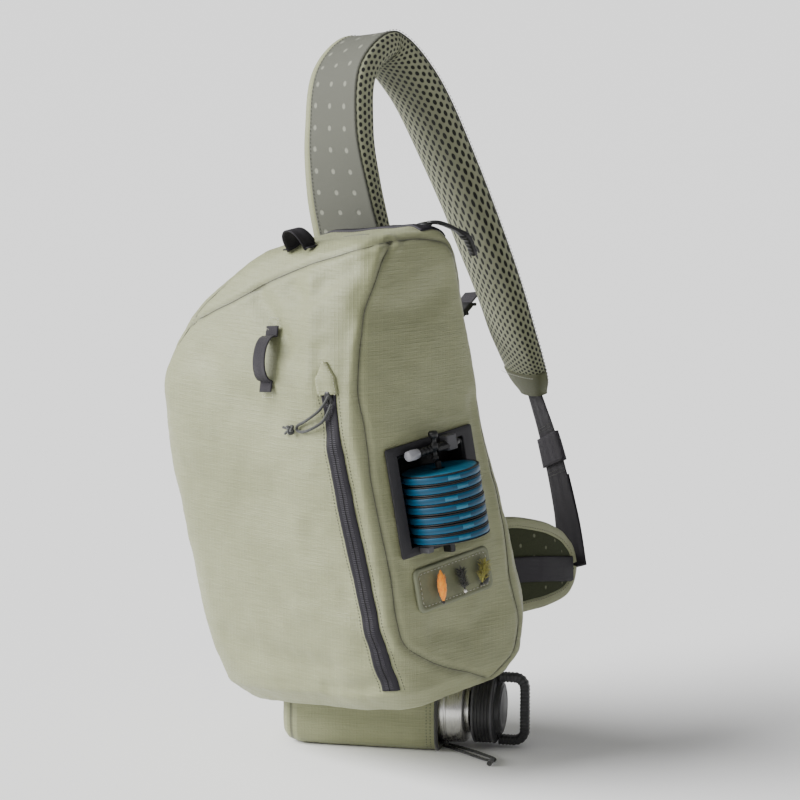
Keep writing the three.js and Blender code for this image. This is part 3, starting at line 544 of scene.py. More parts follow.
def merge_edges(piece):
    """Merges doubled vertices and turns the faces outwards."""
    select_only(piece)
    bpy.ops.object.mode_set(mode="EDIT")
    bpy.ops.mesh.select_all(action="SELECT")
    bpy.ops.mesh.remove_doubles(threshold=MERGE_DISTANCE)
    bpy.ops.mesh.dissolve_degenerate(threshold=DEGENERATE_LENGTH)
    bpy.ops.mesh.normals_make_consistent(inside=False)
    bpy.ops.object.mode_set(mode="OBJECT")


def smooth_faces(mesh):
    mesh.polygons.foreach_set("use_smooth", [True] * len(mesh.polygons))
    mesh.update()


def unit(array):
    array = np.asarray(array, float)
    return array / np.maximum(np.linalg.norm(array, axis=-1, keepdims=True), 1e-9)


def tangents(places):
    return unit(np.gradient(places, axis=0))


def square_to(run, way):
    """The part of way, one row or one for each row of run, that is square to run."""
    way = np.broadcast_to(np.asarray(way, float), run.shape)
    return unit(way - run * (run * way).sum(axis=1)[:, None])


def path_length(line):
    return np.linalg.norm(np.diff(np.asarray(line, float), axis=0), axis=1).sum()


def ends_added(points):
    """The points with one more past each end, in line with the last two."""
    return np.concatenate([2 * points[:1] - points[1:2], points, 2 * points[-1:] - points[-2:-1]])


def between(four, t):
    """The place at t from the second to the third of four points, on a smooth curve through them."""
    a, b, c, d = four
    return 0.5 * (2 * b + (c - a) * t + (2 * a - 5 * b + 4 * c - d) * t**2 + (3 * b - a - 3 * c + d) * t**3)


def curve_at(points, t):
    """A point on the smooth curve through the given ones; t goes from 0 to 1 by their number."""
    points = np.asarray(points, float)
    place = t * (len(points) - 1)
    number = min(len(points) - 2, int(place))
    return between(ends_added(points)[number : number + 4], place - number)


def smooth_path(points, steps):
    """The smooth curve through the given points, as steps + 1 evenly spaced ones."""
    points = np.asarray(points, float)
    padded = ends_added(points)
    t = np.linspace(0, 1, 24, endpoint=False)[:, None]
    fine = [between(padded[number : number + 4], t) for number in range(len(points) - 1)]
    return spaced(np.concatenate([*fine, points[-1:]]), steps)


def spaced(points, steps):
    """The same line with steps + 1 evenly spaced points."""
    far = np.concatenate([[0], np.cumsum(np.linalg.norm(np.diff(points, axis=0), axis=1))])
    at = np.linspace(0, far[-1], steps + 1)
    return np.stack([np.interp(at, far, points[:, axis]) for axis in range(points.shape[1])], axis=1)


def outline(count, squareness, wide=1.0, thick=1.0):
    """A closed outline with round corners, of this width and thickness."""
    turn = np.linspace(0, 2 * math.pi, 4001)
    power = 2 / squareness
    x = np.sign(np.cos(turn)) * np.abs(np.cos(turn)) ** power
    y = np.sign(np.sin(turn)) * np.abs(np.sin(turn)) ** power
    return spaced(np.stack([x * wide / 2, y * thick / 2], axis=1), count)


def capped(table):
    """The table with a row more at each end, all of it in the middle of the row next to it."""
    table = np.asarray(table, float)
    caps = [np.repeat(table[end].mean(axis=0)[None, None], table.shape[1], axis=1) for end in (0, -1)]
    return np.concatenate([caps[0], table, caps[1]])


def by_row(attributes, columns):
    """One value for each row of a table, repeated for its columns."""
    return {
        key: np.repeat(np.asarray(values, float)[:, None], columns, axis=1)
        for key, values in (attributes or {}).items()
    }


def band(name, places, across, normal, section, to=BAG, grow=None):
    """A strip swept along places, whose section is a closed outline in millimetres; its ends are closed."""
    places, across, normal = (np.asarray(part, float) for part in (places, across, normal))
    grow = np.ones((len(places), 2)) if grow is None else np.asarray(grow, float)
    table = places[:, None] + across[:, None] * (section[None, :, :1] * grow[:, None, :1])
    table = table + normal[:, None] * (section[None, :, 1:] * grow[:, None, 1:])
    return grid(name, capped(table), to)


def rod(name, points, radius, to=BAG, sides=10):
    """A round rod along a line of points."""
    points = np.asarray(points, float)
    along = tangents(points)
    side = np.empty_like(points)
    guide = np.array((0.0, 0.0, 1.0)) if abs(along[0][2]) < 0.9 else np.array((1.0, 0.0, 0.0))
    for number, direction in enumerate(along):
        guide = unit(guide - direction * np.dot(guide, direction))
        side[number] = guide
    return band(name, points, side, np.cross(along, side), outline(sides, 2, 2 * radius, 2 * radius), to)


def turned(name, profile, centre, axis, to=BAG, sides=48, attributes=None):
    """A shape spun from (along, radius) pairs about an axis."""
    axis = unit(np.asarray(axis, float))
    up = np.array((0.0, 0.0, 1.0))
    first = unit(up - axis * np.dot(up, axis))
    second = np.cross(axis, first)
    turn = np.linspace(0, 2 * math.pi, sides + 1)
    profile = np.asarray(profile, float)
    ring = np.cos(turn)[:, None] * first + np.sin(turn)[:, None] * second
    table = np.asarray(centre, float) + profile[:, None, :1] * axis + profile[:, None, 1:2] * ring[None]
    return grid(name, table, to, by_row(attributes, sides + 1))


def sharp(piece, angle=35):
    select_only(piece)
    bpy.ops.object.shade_smooth_by_angle(angle=math.radians(angle))
    return piece


def dress(piece, finish, slot, *nodes, padded_fill=None):
    """Gives a piece its finish and its body, and hides the CAD nodes it stands for; slot is not used."""
    piece.data.materials.append(finish_of(finish))
    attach(piece, "root")
    if nodes:
        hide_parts(*nodes)
    return piece


def redress(node, finish):
    """A CAD piece that is shown as it is, with another finish."""
    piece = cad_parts[node]
    piece.data.materials.clear()
    piece.data.materials.append(finish_of(finish))
    return piece


def repeated(name, copies, to=BAG):
    """Small balls at many places; each copy has its place, its own three axes and its size along them."""
    points, faces = small_ball()
    made_points, made_faces = [], []
    for place, axes, scale in copies:
        start = len(made_points)
        for point in points:
            made_points.append(place + sum(axis * at * size for axis, at, size in zip(axes, point, scale)))
        made_faces.extend([start + corner for corner in face] for face in faces)
    mesh = bpy.data.meshes.new(name)
    mesh.from_pydata([tuple(point) for point in placed(made_points, to)], [], made_faces)
    smooth_faces(mesh)
    return linked(name, mesh)


def linked(name, data):
    piece = bpy.data.objects.new(name, data)
    bpy.context.collection.objects.link(piece)
    return piece


def small_ball():
    """The points and faces of a 20-faced ball of radius 1."""
    clear_selection()
    bpy.ops.mesh.primitive_ico_sphere_add(subdivisions=1, radius=1)
    ball = bpy.context.object
    mesh = ball.data
    points = [np.array(vertex.co) for vertex in mesh.vertices]
    faces = [list(face.vertices) for face in mesh.polygons]
    bpy.data.objects.remove(ball)
    bpy.data.meshes.remove(mesh)
    return points, faces


def stitches(name, lines, finish="dark_thread_and_slit_shade", slot="fabric", pitch=3.2, thick=0.45, to=BAG):
    """Rows of stitches along lines, each of which is a row of points and a row of ways out."""
    copies = []
    for points, normals in lines:
        count = max(2, int(path_length(points) / pitch))
        both = spaced(np.concatenate([np.asarray(points, float), np.asarray(normals, float)], axis=1), count)
        at, out = both[:, :3], both[:, 3:]
        run = tangents(at)
        for spot, along, up in zip(at, run, square_to(run, unit(out))):
            axes = (along, np.cross(up, along), up)
            copies.append((spot + up * thick * 0.2, axes, (pitch * 0.36, thick, thick * 0.8)))
    return dress(repeated(name, copies, to), finish, slot)


# The body's padded shell, in bag millimetres

BODY_MIDDLE = (-8, 5)
FRONT_SQUARENESS = 5
BACK_SQUARENESS = 9
# Height of each level, and how far it reaches to the left, right, front and back, as shares
BODY_LEVELS = [
    (0, 0.79, 0.90, 0.76, 0.86), (0.04, 0.93, 0.98, 0.91, 1.02), (0.15, 0.99, 1, 0.97, 1.17),
    (0.38, 1.03, 1, 1, 1.05), (0.56, 1.05, 1, 0.99, 0.95), (0.74, 1.03, 1, 0.93, 0.95),
    (0.815, 0.91, 0.99, 0.80, 0.96), (0.88, 0.72, 0.99, 0.68, 0.96), (0.94, 0.43, 0.97, 0.52, 0.92),
    (0.98, 0.18, 0.94, 0.38, 0.82), (1, -0.05, 0.85, 0.20, 0.62),
]
SEAMS = {
    "front side": [
        (108, 9, 375), (112, -9, 362), (112, -24, 342), (110, -37, 322), (110, -45, 302), (110, -53, 275),
        (109, -55, 259), (110, -54, 235), (110, -57, 184), (111, -54, 128), (110, -54, 70), (111, -51, 55),
        (115, -33, 39), (115, -1, 22), (106, 39, 3),
    ],
    "back side": [
        (108, 9, 375), (110, 35, 374), (111, 57, 367), (111, 71, 359), (113, 78, 300), (114, 79, 200),
        (114, 78, 125), (116, 74, 80), (115, 78, 48), (114, 76, 31), (113, 63, 13), (106, 43, 2),
    ],
    "top front": [
        (108, 9, 375), (105, -12, 375), (88, -25, 374), (55, -31, 367), (20, -37, 360), (-24, -45, 345),
        (-47, -49, 338), (-82, -50, 327),
    ],
    "left binding": [(-82, -48, 330), (-74, -43, 340), (-49, -32, 358), (-23, -15, 375)],
    "left front": [
        (-82, -50, 327), (-112, -48, 300), (-122, -46, 240), (-124, -47, 150), (-122, -46, 80),
        (-112, -40, 34), (-100, -10, 8),
    ],
    "left back": [
        (-50, 60, 372), (-92, 72, 338), (-118, 76, 280), (-124, 78, 200), (-122, 84, 100), (-112, 80, 40),
        (-100, 60, 6),
    ],
    "back panel top": [(-92, 80, 300), (-60, 84, 322), (0, 86, 330), (60, 86, 330), (96, 84, 318)],
    "back panel middle": [(-104, 84, 170), (-50, 88, 168), (10, 90, 168), (64, 90, 170), (100, 88, 172)],
}
# Broad folds and ridges: points, depth in millimetres (a ridge is below zero) and half width
FOLDS = [
    ([(-2, -46, 345), (18, -53, 330), (33, -59, 315), (41, -63, 303)], 3.4, 9),
    ([(37, -43, 349), (64, -48, 340), (81, -39, 354), (98, -31, 360)], 3.0, 10),
    ([(60, -40, 355), (70, -52, 325), (73, -60, 295), (70, -66, 270)], -2.2, 10),
    ([(109, -7, 372), (112, -24, 342), (111, -34, 328), (108, -48, 302), (104, -60, 260), (103, -62, 236),
      (105, -62, 179), (105, -61, 121), (105, -60, 75), (107, -57, 58)], -1.6, 5),
    ([(78, -60, 300), (84, -66, 270), (82, -70, 235)], 2.4, 8),
    ([(-60, -60, 300), (-20, -72, 270), (20, -76, 255)], 1.8, 14),
    ([(-90, -66, 200), (-40, -78, 180), (10, -80, 190)], 1.6, 18),
    ([(50, -76, 150), (75, -72, 110), (88, -66, 60)], 1.8, 12),
    ([(-80, -66, 60), (-20, -74, 44), (40, -74, 38)], 2.2, 12),
    ([(20, -76, 90), (60, -74, 78), (92, -66, 70)], -1.6, 10),
    ([(96, -56, 30), (70, -66, 22), (30, -70, 20)], 2.4, 8),
    ([(114, -30, 330), (115, 10, 320), (114, 50, 330)], 2.2, 14),
    ([(116, -40, 100), (117, -46, 150), (116, -44, 210)], 1.5, 8),
    ([(116, -20, 60), (116, 20, 50), (116, 50, 60)], 2.0, 10),
    ([(116, 64, 120), (116, 66, 170), (116, 64, 230)], 1.8, 8),
]
WELL_Y = 6.5
WELL_Z = 170
WELL_FACE = 117.3
WELL_DEPTH = 33
LIP_DEPTH = 1.9
# The room for the sleeve under the body, in base millimetres: its half width, half height and ends
SLEEVE_ROOM = (38.2, 36.6)
SLEEVE_ENDS = (-72, 125)
SLEEVE_GAP = 1.0
# Ways in which a line from outside meets the skin
FRONT, BACK, TOP = (0, 1, 0), (0, -1, 0), (0, 0, -1)


def near(points, line):
    """The distance of each point from a line of points."""
    line = np.asarray(line, float)
    best = np.full(len(points), 1e9)
    for start, end in zip(line[:-1], line[1:]):
        run = end - start
        share = np.clip(((points - start) @ run) / (run @ run), 0, 1)
        away = np.linalg.norm(points - (start + share[:, None] * run), axis=1)
        best = np.minimum(best, away)
    return best


def body_rows(count):
    """Level rows from the middle of the base to the middle of the top: z, left, right, front, back."""
    size = sizes()
    half = (size.body_width / 2, size.body_width / 2, size.body_depth / 2, size.body_depth / 2)
    rows = [
        [up * size.body_height] + [share * reach for share, reach in zip(shares, half)]
        for up, *shares in BODY_LEVELS
    ]

    def closed(row):
        z, left, right, front, back = row
        return [z, (left - right) / 2, (right - left) / 2, (front - back) / 2, (back - front) / 2]

    rows = spaced(np.array([closed(rows[0]), *rows, closed(rows[-1])], float), count)
    kernel = np.exp(-0.5 * (np.arange(-9, 10) / 3.2) ** 2)
    kernel /= kernel.sum()
    padded = np.concatenate([2 * rows[:1] - rows[9:0:-1], rows, 2 * rows[-1:] - rows[-2:-11:-1]])
    smooth = np.stack([np.convolve(padded[:, axis], kernel, "valid") for axis in range(5)], axis=1)
    share = np.clip(rows[:, :1] / 50, 0.15, 1)
    smooth = rows + (smooth - rows) * share
    smooth[0], smooth[-1] = closed(rows[0]), closed(rows[-1])
    return smooth


def body_table(rows, columns):
    turn = np.linspace(0, 2 * math.pi, 3001)
    cos, sin = np.cos(turn), np.sin(turn)
    table = []
    for z, left, right, front, back in body_rows(rows):
        power = np.where(sin < 0, 2 / FRONT_SQUARENESS, 2 / BACK_SQUARENESS)
        x = BODY_MIDDLE[0] + (right - left) / 2 + (right + left) / 2 * np.sign(cos) * np.abs(cos) ** power
        y = BODY_MIDDLE[1] + (back - front) / 2 + (back + front) / 2 * np.sign(sin) * np.abs(sin) ** power
        ring = np.stack([x, y, np.full_like(x, z)], axis=1)
        table.append(spaced(ring, columns))
    return np.array(table)


def outwards(table):
    """Directions out of a closed table whose last column is its first."""
    around = np.roll(table[:, :-1], -1, axis=1) - np.roll(table[:, :-1], 1, axis=1)
    around = np.concatenate([around, around[:, :1]], axis=1)
    return unit(np.cross(around, np.gradient(table, axis=0)))


def clear_of_sleeve(points):
    """Lifts the body's cloth off the bottle sleeve under it."""
    to_base = np.array(BASE.inverted() @ BAG)
    from_base = np.array(BAG.inverted() @ BASE)
    half_width, half_height = SLEEVE_ROOM
    base = points @ to_base[:3, :3].T + to_base[:3, 3]
    away = np.stack([base[:, 1] / half_width, (base[:, 2] - AXIS_HEIGHT) / half_height], axis=1)
    beside = (base[:, 0] > SLEEVE_ENDS[0]) & (base[:, 0] < SLEEVE_ENDS[1])
    inside = beside & (np.linalg.norm(away, axis=1) < 1)
    height = half_height * np.sqrt(np.clip(1 - away[inside, 0] ** 2, 0, 1))
    base[inside, 2] = AXIS_HEIGHT + height + SLEEVE_GAP
    return base @ from_base[:3, :3].T + from_base[:3, 3]


def on_skin(points, line):
    """The line moved to the nearest of the points, evenly spaced and smoothed."""
    dense = smooth_path(line, max(8, int(path_length(line) / 6)))
    nearest = np.array([points[np.argmin(((points - spot) ** 2).sum(axis=1))] for spot in dense])
    for _ in range(2):
        nearest[1:-1] = (nearest[:-2] + 2 * nearest[1:-1] + nearest[2:]) / 4
    return nearest


def near_well(points, half_y, low, high, from_x):
    """Which points lie in a box round the spool well, open to the right."""
    level = (points[:, 2] > low) & (points[:, 2] < high)
    return level & (np.abs(points[:, 1] - WELL_Y) < half_y) & (points[:, 0] > from_x)


def table_faces(table):
    rows, columns = table.shape[:2]
    return [
        (r * columns + c, r * columns + c + 1, (r + 1) * columns + c + 1, (r + 1) * columns + c)
        for r in range(rows - 1)
        for c in range(columns - 1)
    ]


class SLINGBAG_OT_body(bpy.types.Operator):
    """Padded body shell with its seams, folds and the hollow behind the spool well"""

    bl_idname = "sling_bag.body"
    bl_label = "Body shell"

    def execute(self, context):
        table = body_table(250, 420)
        out = outwards(table)
        points = table.reshape(-1, 3)
        push = np.zeros(len(points))
        seam = np.zeros(len(points))
        lines = {name: on_skin(points, line) for name, line in SEAMS.items()}
        for line in lines.values():
            away = near(points, line)
            push += 0.5 * np.exp(-(((away - 6) / 4) ** 2)) - sizes().seam_depth * np.exp(-((away / 2.8) ** 2))
            # How far painted shade darkens the cloth, most in the middle of the seams
            seam = np.maximum(seam, 0.5 * np.exp(-((away / 2.1) ** 2)))
        for line, depth, wide in FOLDS:
            push -= 1.25 * depth * np.exp(-((near(points, line) / wide) ** 2))
        for number, point in enumerate(points):
            spot = Vector(point)
            push[number] += 1.5 * noise.noise(spot / 46) + 0.7 * noise.noise(spot / 17 + Vector((9, 2, 5)))
            push[number] += 0.25 * noise.noise(Vector((spot.x / 9, spot.y / 9, spot.z / 4)))
        push = push.reshape(table.shape[:2])
        push[:, -1] = push[:, 0]
        push[0], push[-1] = push[0].mean(), push[-1].mean()
        ends = np.minimum(np.arange(len(table)), np.arange(len(table))[::-1]) / 12
        table = table + out * (push * np.clip(ends, 0, 1)[:, None])[..., None]
        flat = table.reshape(-1, 3)
        # A deep hollow for the cup, and a flat one round it for the lip
        flat[near_well(flat, 43, 128.5, 207, 60), 0] = WELL_FACE - WELL_DEPTH
        beside = near_well(flat, 55, 119, 221, 100)
        flat[beside, 0] = np.minimum(flat[beside, 0], WELL_FACE - LIP_DEPTH)
        flat = clear_of_sleeve(flat)
        table = flat.reshape(table.shape)
        piece = grid("bag_body", table, attributes={"seam": seam.reshape(table.shape[:2])})
        dress(piece, "cloth", "fabric", "body_shell", padded_fill=0.7)
        corners = [tuple(corner) for corner in flat]
        made_before["skin"] = BVHTree.FromPolygons(corners, table_faces(table))
        for name, line in lines.items():
            self.seam_line(name, line)
        return {"FINISHED"}

    def seam_line(self, name, line):
        """A fine dark line of thread and shadow that lies in the seam."""
        path = spaced(line, max(20, int(path_length(line) / 2.5)))
        rows = []
        for spot in path:
            spot, normal, _, _ = made_before["skin"].find_nearest(Vector(spot))
            rows.append(np.array(spot + normal * 0.12))
        rows = np.array(rows)
        for _ in range(3):
            rows[1:-1] = (rows[:-2] + rows[1:-1] + rows[2:]) / 3
        dress(rod(f"{name.replace(' ', '_')}_seam", rows, 0.3, sides=6), "seam_thread_and_shadow", "fabric")


def onto(point, direction, lift=0.0):
    """The point of the body's skin that a line from outside meets first, and the way out there."""
    run = Vector(direction)
    spot, normal, _, _ = made_before["skin"].ray_cast(Vector(point) - run * 300, run)
    if spot is None:
        raise RuntimeError(f"nothing of the body lies at {tuple(point)}")
    if normal.dot(run) > 0:
        normal = -normal
    return np.array(spot + normal * lift), np.array(normal)


def hugging(
    name, centres, across, width, thick, direction, finish, slot, *nodes, columns=12, taper=None, crown=0.0
):
    """A flat strip that follows the body's skin, with its distance from its middle line as an attribute."""
    centres = np.asarray(centres, float)
    across = unit(np.broadcast_to(np.asarray(across, float), centres.shape))
    shares = np.concatenate([np.linspace(-1, 1, columns + 1), np.linspace(1, -1, columns + 1), [-1]])
    top = np.array([True] * (columns + 1) + [False] * (columns + 1) + [True])
    taper = np.ones(len(centres)) if taper is None else np.asarray(taper, float)
    table = []
    for centre, side, wide in zip(centres, across, taper):
        row = []
        for share, upper in zip(shares, top):
            spot, normal = onto(centre + side * share * width * wide / 2, direction)
            rise = thick * (1 - 0.35 * abs(share) ** 8) + crown * (1 - share**2) if upper else -0.8
            row.append(spot + normal * rise)
        table.append(row)
    table = capped(table)
    middle = np.repeat(np.abs(shares)[None], len(table), axis=0)
    return dress(grid(name, table, attributes={"off_middle": middle}), finish, slot, *nodes)


def stitch_line(places, direction, lift):
    """The places moved to the body's skin, and the ways out of it there."""
    found = [onto(place, direction, lift) for place in places]
    return [spot for spot, _ in found], [out for _, out in found]


def upright_line(low, high, steps):
    """A line up the front, between two (x, z) pairs."""
    z = np.linspace(low[1], high[1], steps)
    return np.stack([np.interp(z, (low[1], high[1]), (low[0], high[0])), np.full_like(z, -80), z], axis=1)


class SLINGBAG_OT_zips(bpy.types.Operator):
    """Main zip, front zip, the hood over its head, its slider and the stitches beside them"""

    bl_idname = "sling_bag.zips"
    bl_label = "Zips"

    def execute(self, context):
        size = sizes()
        tape = ("zip_tape", "zip")
        xs = np.linspace(-38, 106, 90)
        main = np.stack([xs, np.full_like(xs, 59), np.full_like(xs, 380)], axis=1)
        hugging("main_zip_tape", main, (0, 1, 0), size.zip_width, 1.6, TOP, *tape, "main_zip")
        front = upright_line((96, 20), (87, 267), 150)
        hugging("front_zip_tape", front, (1, 0, 0), size.front_zip_width, 1.4, FRONT, *tape, "front_zip")
        hood = upright_line((87, 266), (85.6, 292), 26)
        taper = np.interp(hood[:, 2], (266, 268, 280, 292), (0.92, 1, 1, 0.25))
        hood_cloth = ("cloth", "fabric", "zip_hood")
        hugging("hood_over_zip", hood, (1, 0, 0), 19, 2.2, FRONT, *hood_cloth, taper=taper, crown=1.6)
        lines = [stitch_line(hood + np.outer(side * 8.2 * taper, (1, 0, 0)), FRONT, 2.3) for side in (-1, 1)]
        stitches("hood_stitches", lines, "light_thread", pitch=2.2, thick=0.28)
        lines = []
        for side in (-1, 1):
            lines.append(stitch_line(front[::4] + (side * 9.6, 0, 0), FRONT, 0.1))
            lines.append(stitch_line(main[::4] + (0, side * 15.4, 0), TOP, 0.1))
        stitches("zip_stitches", lines, "dark_thread_and_slit_shade", pitch=2.8, thick=0.3)
        self.slider()
        return {"FINISHED"}

    def slider(self):
        """The front zip's slider and the bail its cord hangs from."""
        spot, out = onto((88.3, -80, 262), FRONT, 1.4)
        along = unit(np.array((0.0, -0.2, 1.0)))
        side = unit(np.cross(along, out))
        out = np.cross(side, along)
        places = [spot + along * step for step in np.linspace(-7, 7, 12)]
        swell = np.sin(math.pi * np.linspace(0.04, 0.96, 12))
        grow = np.stack([swell**0.4 + 0.05, swell**0.5 + 0.1], axis=1)
        slider = band("front_slider", places, [side] * 12, [out] * 12, outline(24, 3.5, 8, 3.4), grow=grow)
        dress(slider, "black_plastic", "plastic")
        shares = np.linspace(0, 1, 12)
        bail = [spot + out * 2.6 * math.sin(math.pi * share) + along * (4 - 8 * share) for share in shares]
        dress(rod("front_slider_bail", bail, 0.8), "black_plastic", "plastic")


def arch(feet, foot_length, rise, out, foot_out):
    """The side view of a sewn loop: flat foot, arch, flat foot, as points and the way out at each."""
    start, end = feet
    run = unit(end - start)
    middle = (start + end) / 2
    reach = np.linalg.norm(end - start) / 2
    points = [start - run * foot_length * share + foot_out for share in np.linspace(1, 0, 5)]
    for share in np.linspace(0.06, 0.94, 17):
        turn = math.pi * (1 - share)
        points.append(middle + run * reach * math.cos(turn) + out * rise * math.sin(turn) ** 0.8 + foot_out)
    points += [end + run * foot_length * share + foot_out for share in np.linspace(0, 1, 5)]
    return spaced(np.array(points), 44)


class SLINGBAG_OT_loops(bpy.types.Operator):
    """Front and top webbing loops with their stitched feet"""

    bl_idname = "sling_bag.loops"
    bl_label = "Webbing loops"

    def execute(self, context):
        low, low_out = onto((22, -80, 279), FRONT)
        high, high_out = onto((22, -80, 313), FRONT)
        self.loop("front_webbing_loop", "front_loop", (low, high), 9, 12.5, low_out + high_out, (1, 0, 0), 15)
        left, left_out = onto((22, -18, 380), TOP)
        right, right_out = onto((42, -18, 380), TOP)
        self.loop("top_webbing_loop", "top_loop", (left, right), 6, 18, left_out + right_out, (0, 1, 0), 15)
        boxes = []
        for base in (266, 318):
            low, high = (15.8, base), (28.2, base + 9)
            corners = [low, (high[0], base), high, (low[0], base + 9), low, high]
            places = [(x, -80, z) for x, z in spaced(np.array(corners, float), 40)]
            boxes.append(stitch_line(places, FRONT, 1.9))
        stitches("front_loop_stitches", boxes, "light_thread", "webbing", 2.0, 0.3)
        return {"FINISHED"}

    def loop(self, name, node, feet, foot, rise, out, across, width):
        out = unit(out)
        line = arch(feet, foot, rise, out, out * 0.9)
        run = tangents(line)
        side = square_to(run, across)
        section = outline(28, 9, width, 1.4)
        dress(band(name, line, side, np.cross(side, run), section), "webbing", "webbing", node)


def rounded(half_y, half_z, corner):
    """A closed rectangle with round corners, in the plane of the bag's right side."""
    points = []
    for quarter, (side, up) in enumerate(((1, 1), (-1, 1), (-1, -1), (1, -1))):
        for turn in np.linspace(quarter, quarter + 1, 25)[:-1]:
            angle = turn * math.pi / 2
            y = side * (half_y - corner) + corner * math.cos(angle)
            points.append((y, up * (half_z - corner) + corner * math.sin(angle)))
    points.append(points[0])
    return np.array(points)


def plate(name, rings, centre, attributes=None):
    """A plate in the bag's right side, from rings of (x, half y, half z, corner)."""
    table = []
    for x, half_y, half_z, corner in rings:
        flat = rounded(half_y, half_z, max(0.05, min(corner, half_y, half_z)))
        table.append([(x, centre[0] + y, centre[1] + z) for y, z in flat])
    return grid(name, table, attributes=by_row(attributes, len(table[0])))


def line_on_plate(x, half_y, half_z, corner, centre):
    """A line of stitches on a plate, as its points and ways out."""
    points = [(x, centre[0] + y, centre[1] + z) for y, z in rounded(half_y, half_z, corner)]
    return points, [(1, 0, 0)] * len(points)


class SLINGBAG_OT_spool_well(bpy.types.Operator):
    """Well on the right side: a sewn lip and a black cup behind it"""

    bl_idname = "sling_bag.spool_well"
    bl_label = "Spool well"

    def execute(self, context):
        face, centre = WELL_FACE, (WELL_Y, WELL_Z)
        cup = (WELL_Y, 167.5)
        lip = [
            (face - 1.9, 47, 43, 2), (face - 1.8, 49.2, 44.8, 2), (face - 0.8, 49.6, 45.2, 2),
            (face + 0.2, 49.4, 45, 2), (face + 0.5, 48.8, 44.4, 2), (face + 0.6, 42, 41, 1.6),
            (face + 0.5, 38.6, 38.4, 1.4), (face, 38.0, 37.9, 1.2), (face - 1.7, 37.8, 37.8, 1.2),
        ]
        dress(sharp(plate("well_lip", lip + [lip[0]], centre)), "lip_cloth", "plastic", "spool_well")
        inner = [
            (face - 1.2, 38.4, 38.3, 6), (face - 4, 37.6, 37.5, 7), (face - 16, 36.8, 36.6, 8),
            (face - 26, 35.6, 35.4, 10), (face - 29.4, 31, 31, 12), (face - 30, 20, 20, 12),
            (face - 30, 0.06, 0.06, 0.05), (face - 31.2, 0.06, 0.06, 0.05), (face - 31.2, 20, 20, 12),
            (face - 30.6, 32, 32, 12), (face - 27, 36.8, 36.6, 10), (face - 4, 38.8, 38.7, 7),
            (face - 1.6, 39.6, 39.4, 6), (face - 1.2, 38.4, 38.3, 6),
        ]
        dress(plate("well_cup", inner, cup), "black_plastic", "plastic")
        lines = [line_on_plate(face + 0.1, 46.2, 42, 6.5, centre)]
        stitches("well_stitches", lines, "dark_thread_and_slit_shade", "plastic", 2.6, 0.35)
        return {"FINISHED"}


# The spools' place in the well: the bar's x, and the lowest and highest edge of seven spools
BAR_X = 123.2
SPOOLS_LOW = 131.9
SPOOLS_HIGH = 189.3
SPOOL_PLACES = 7
TOGGLE_Z = 206.2


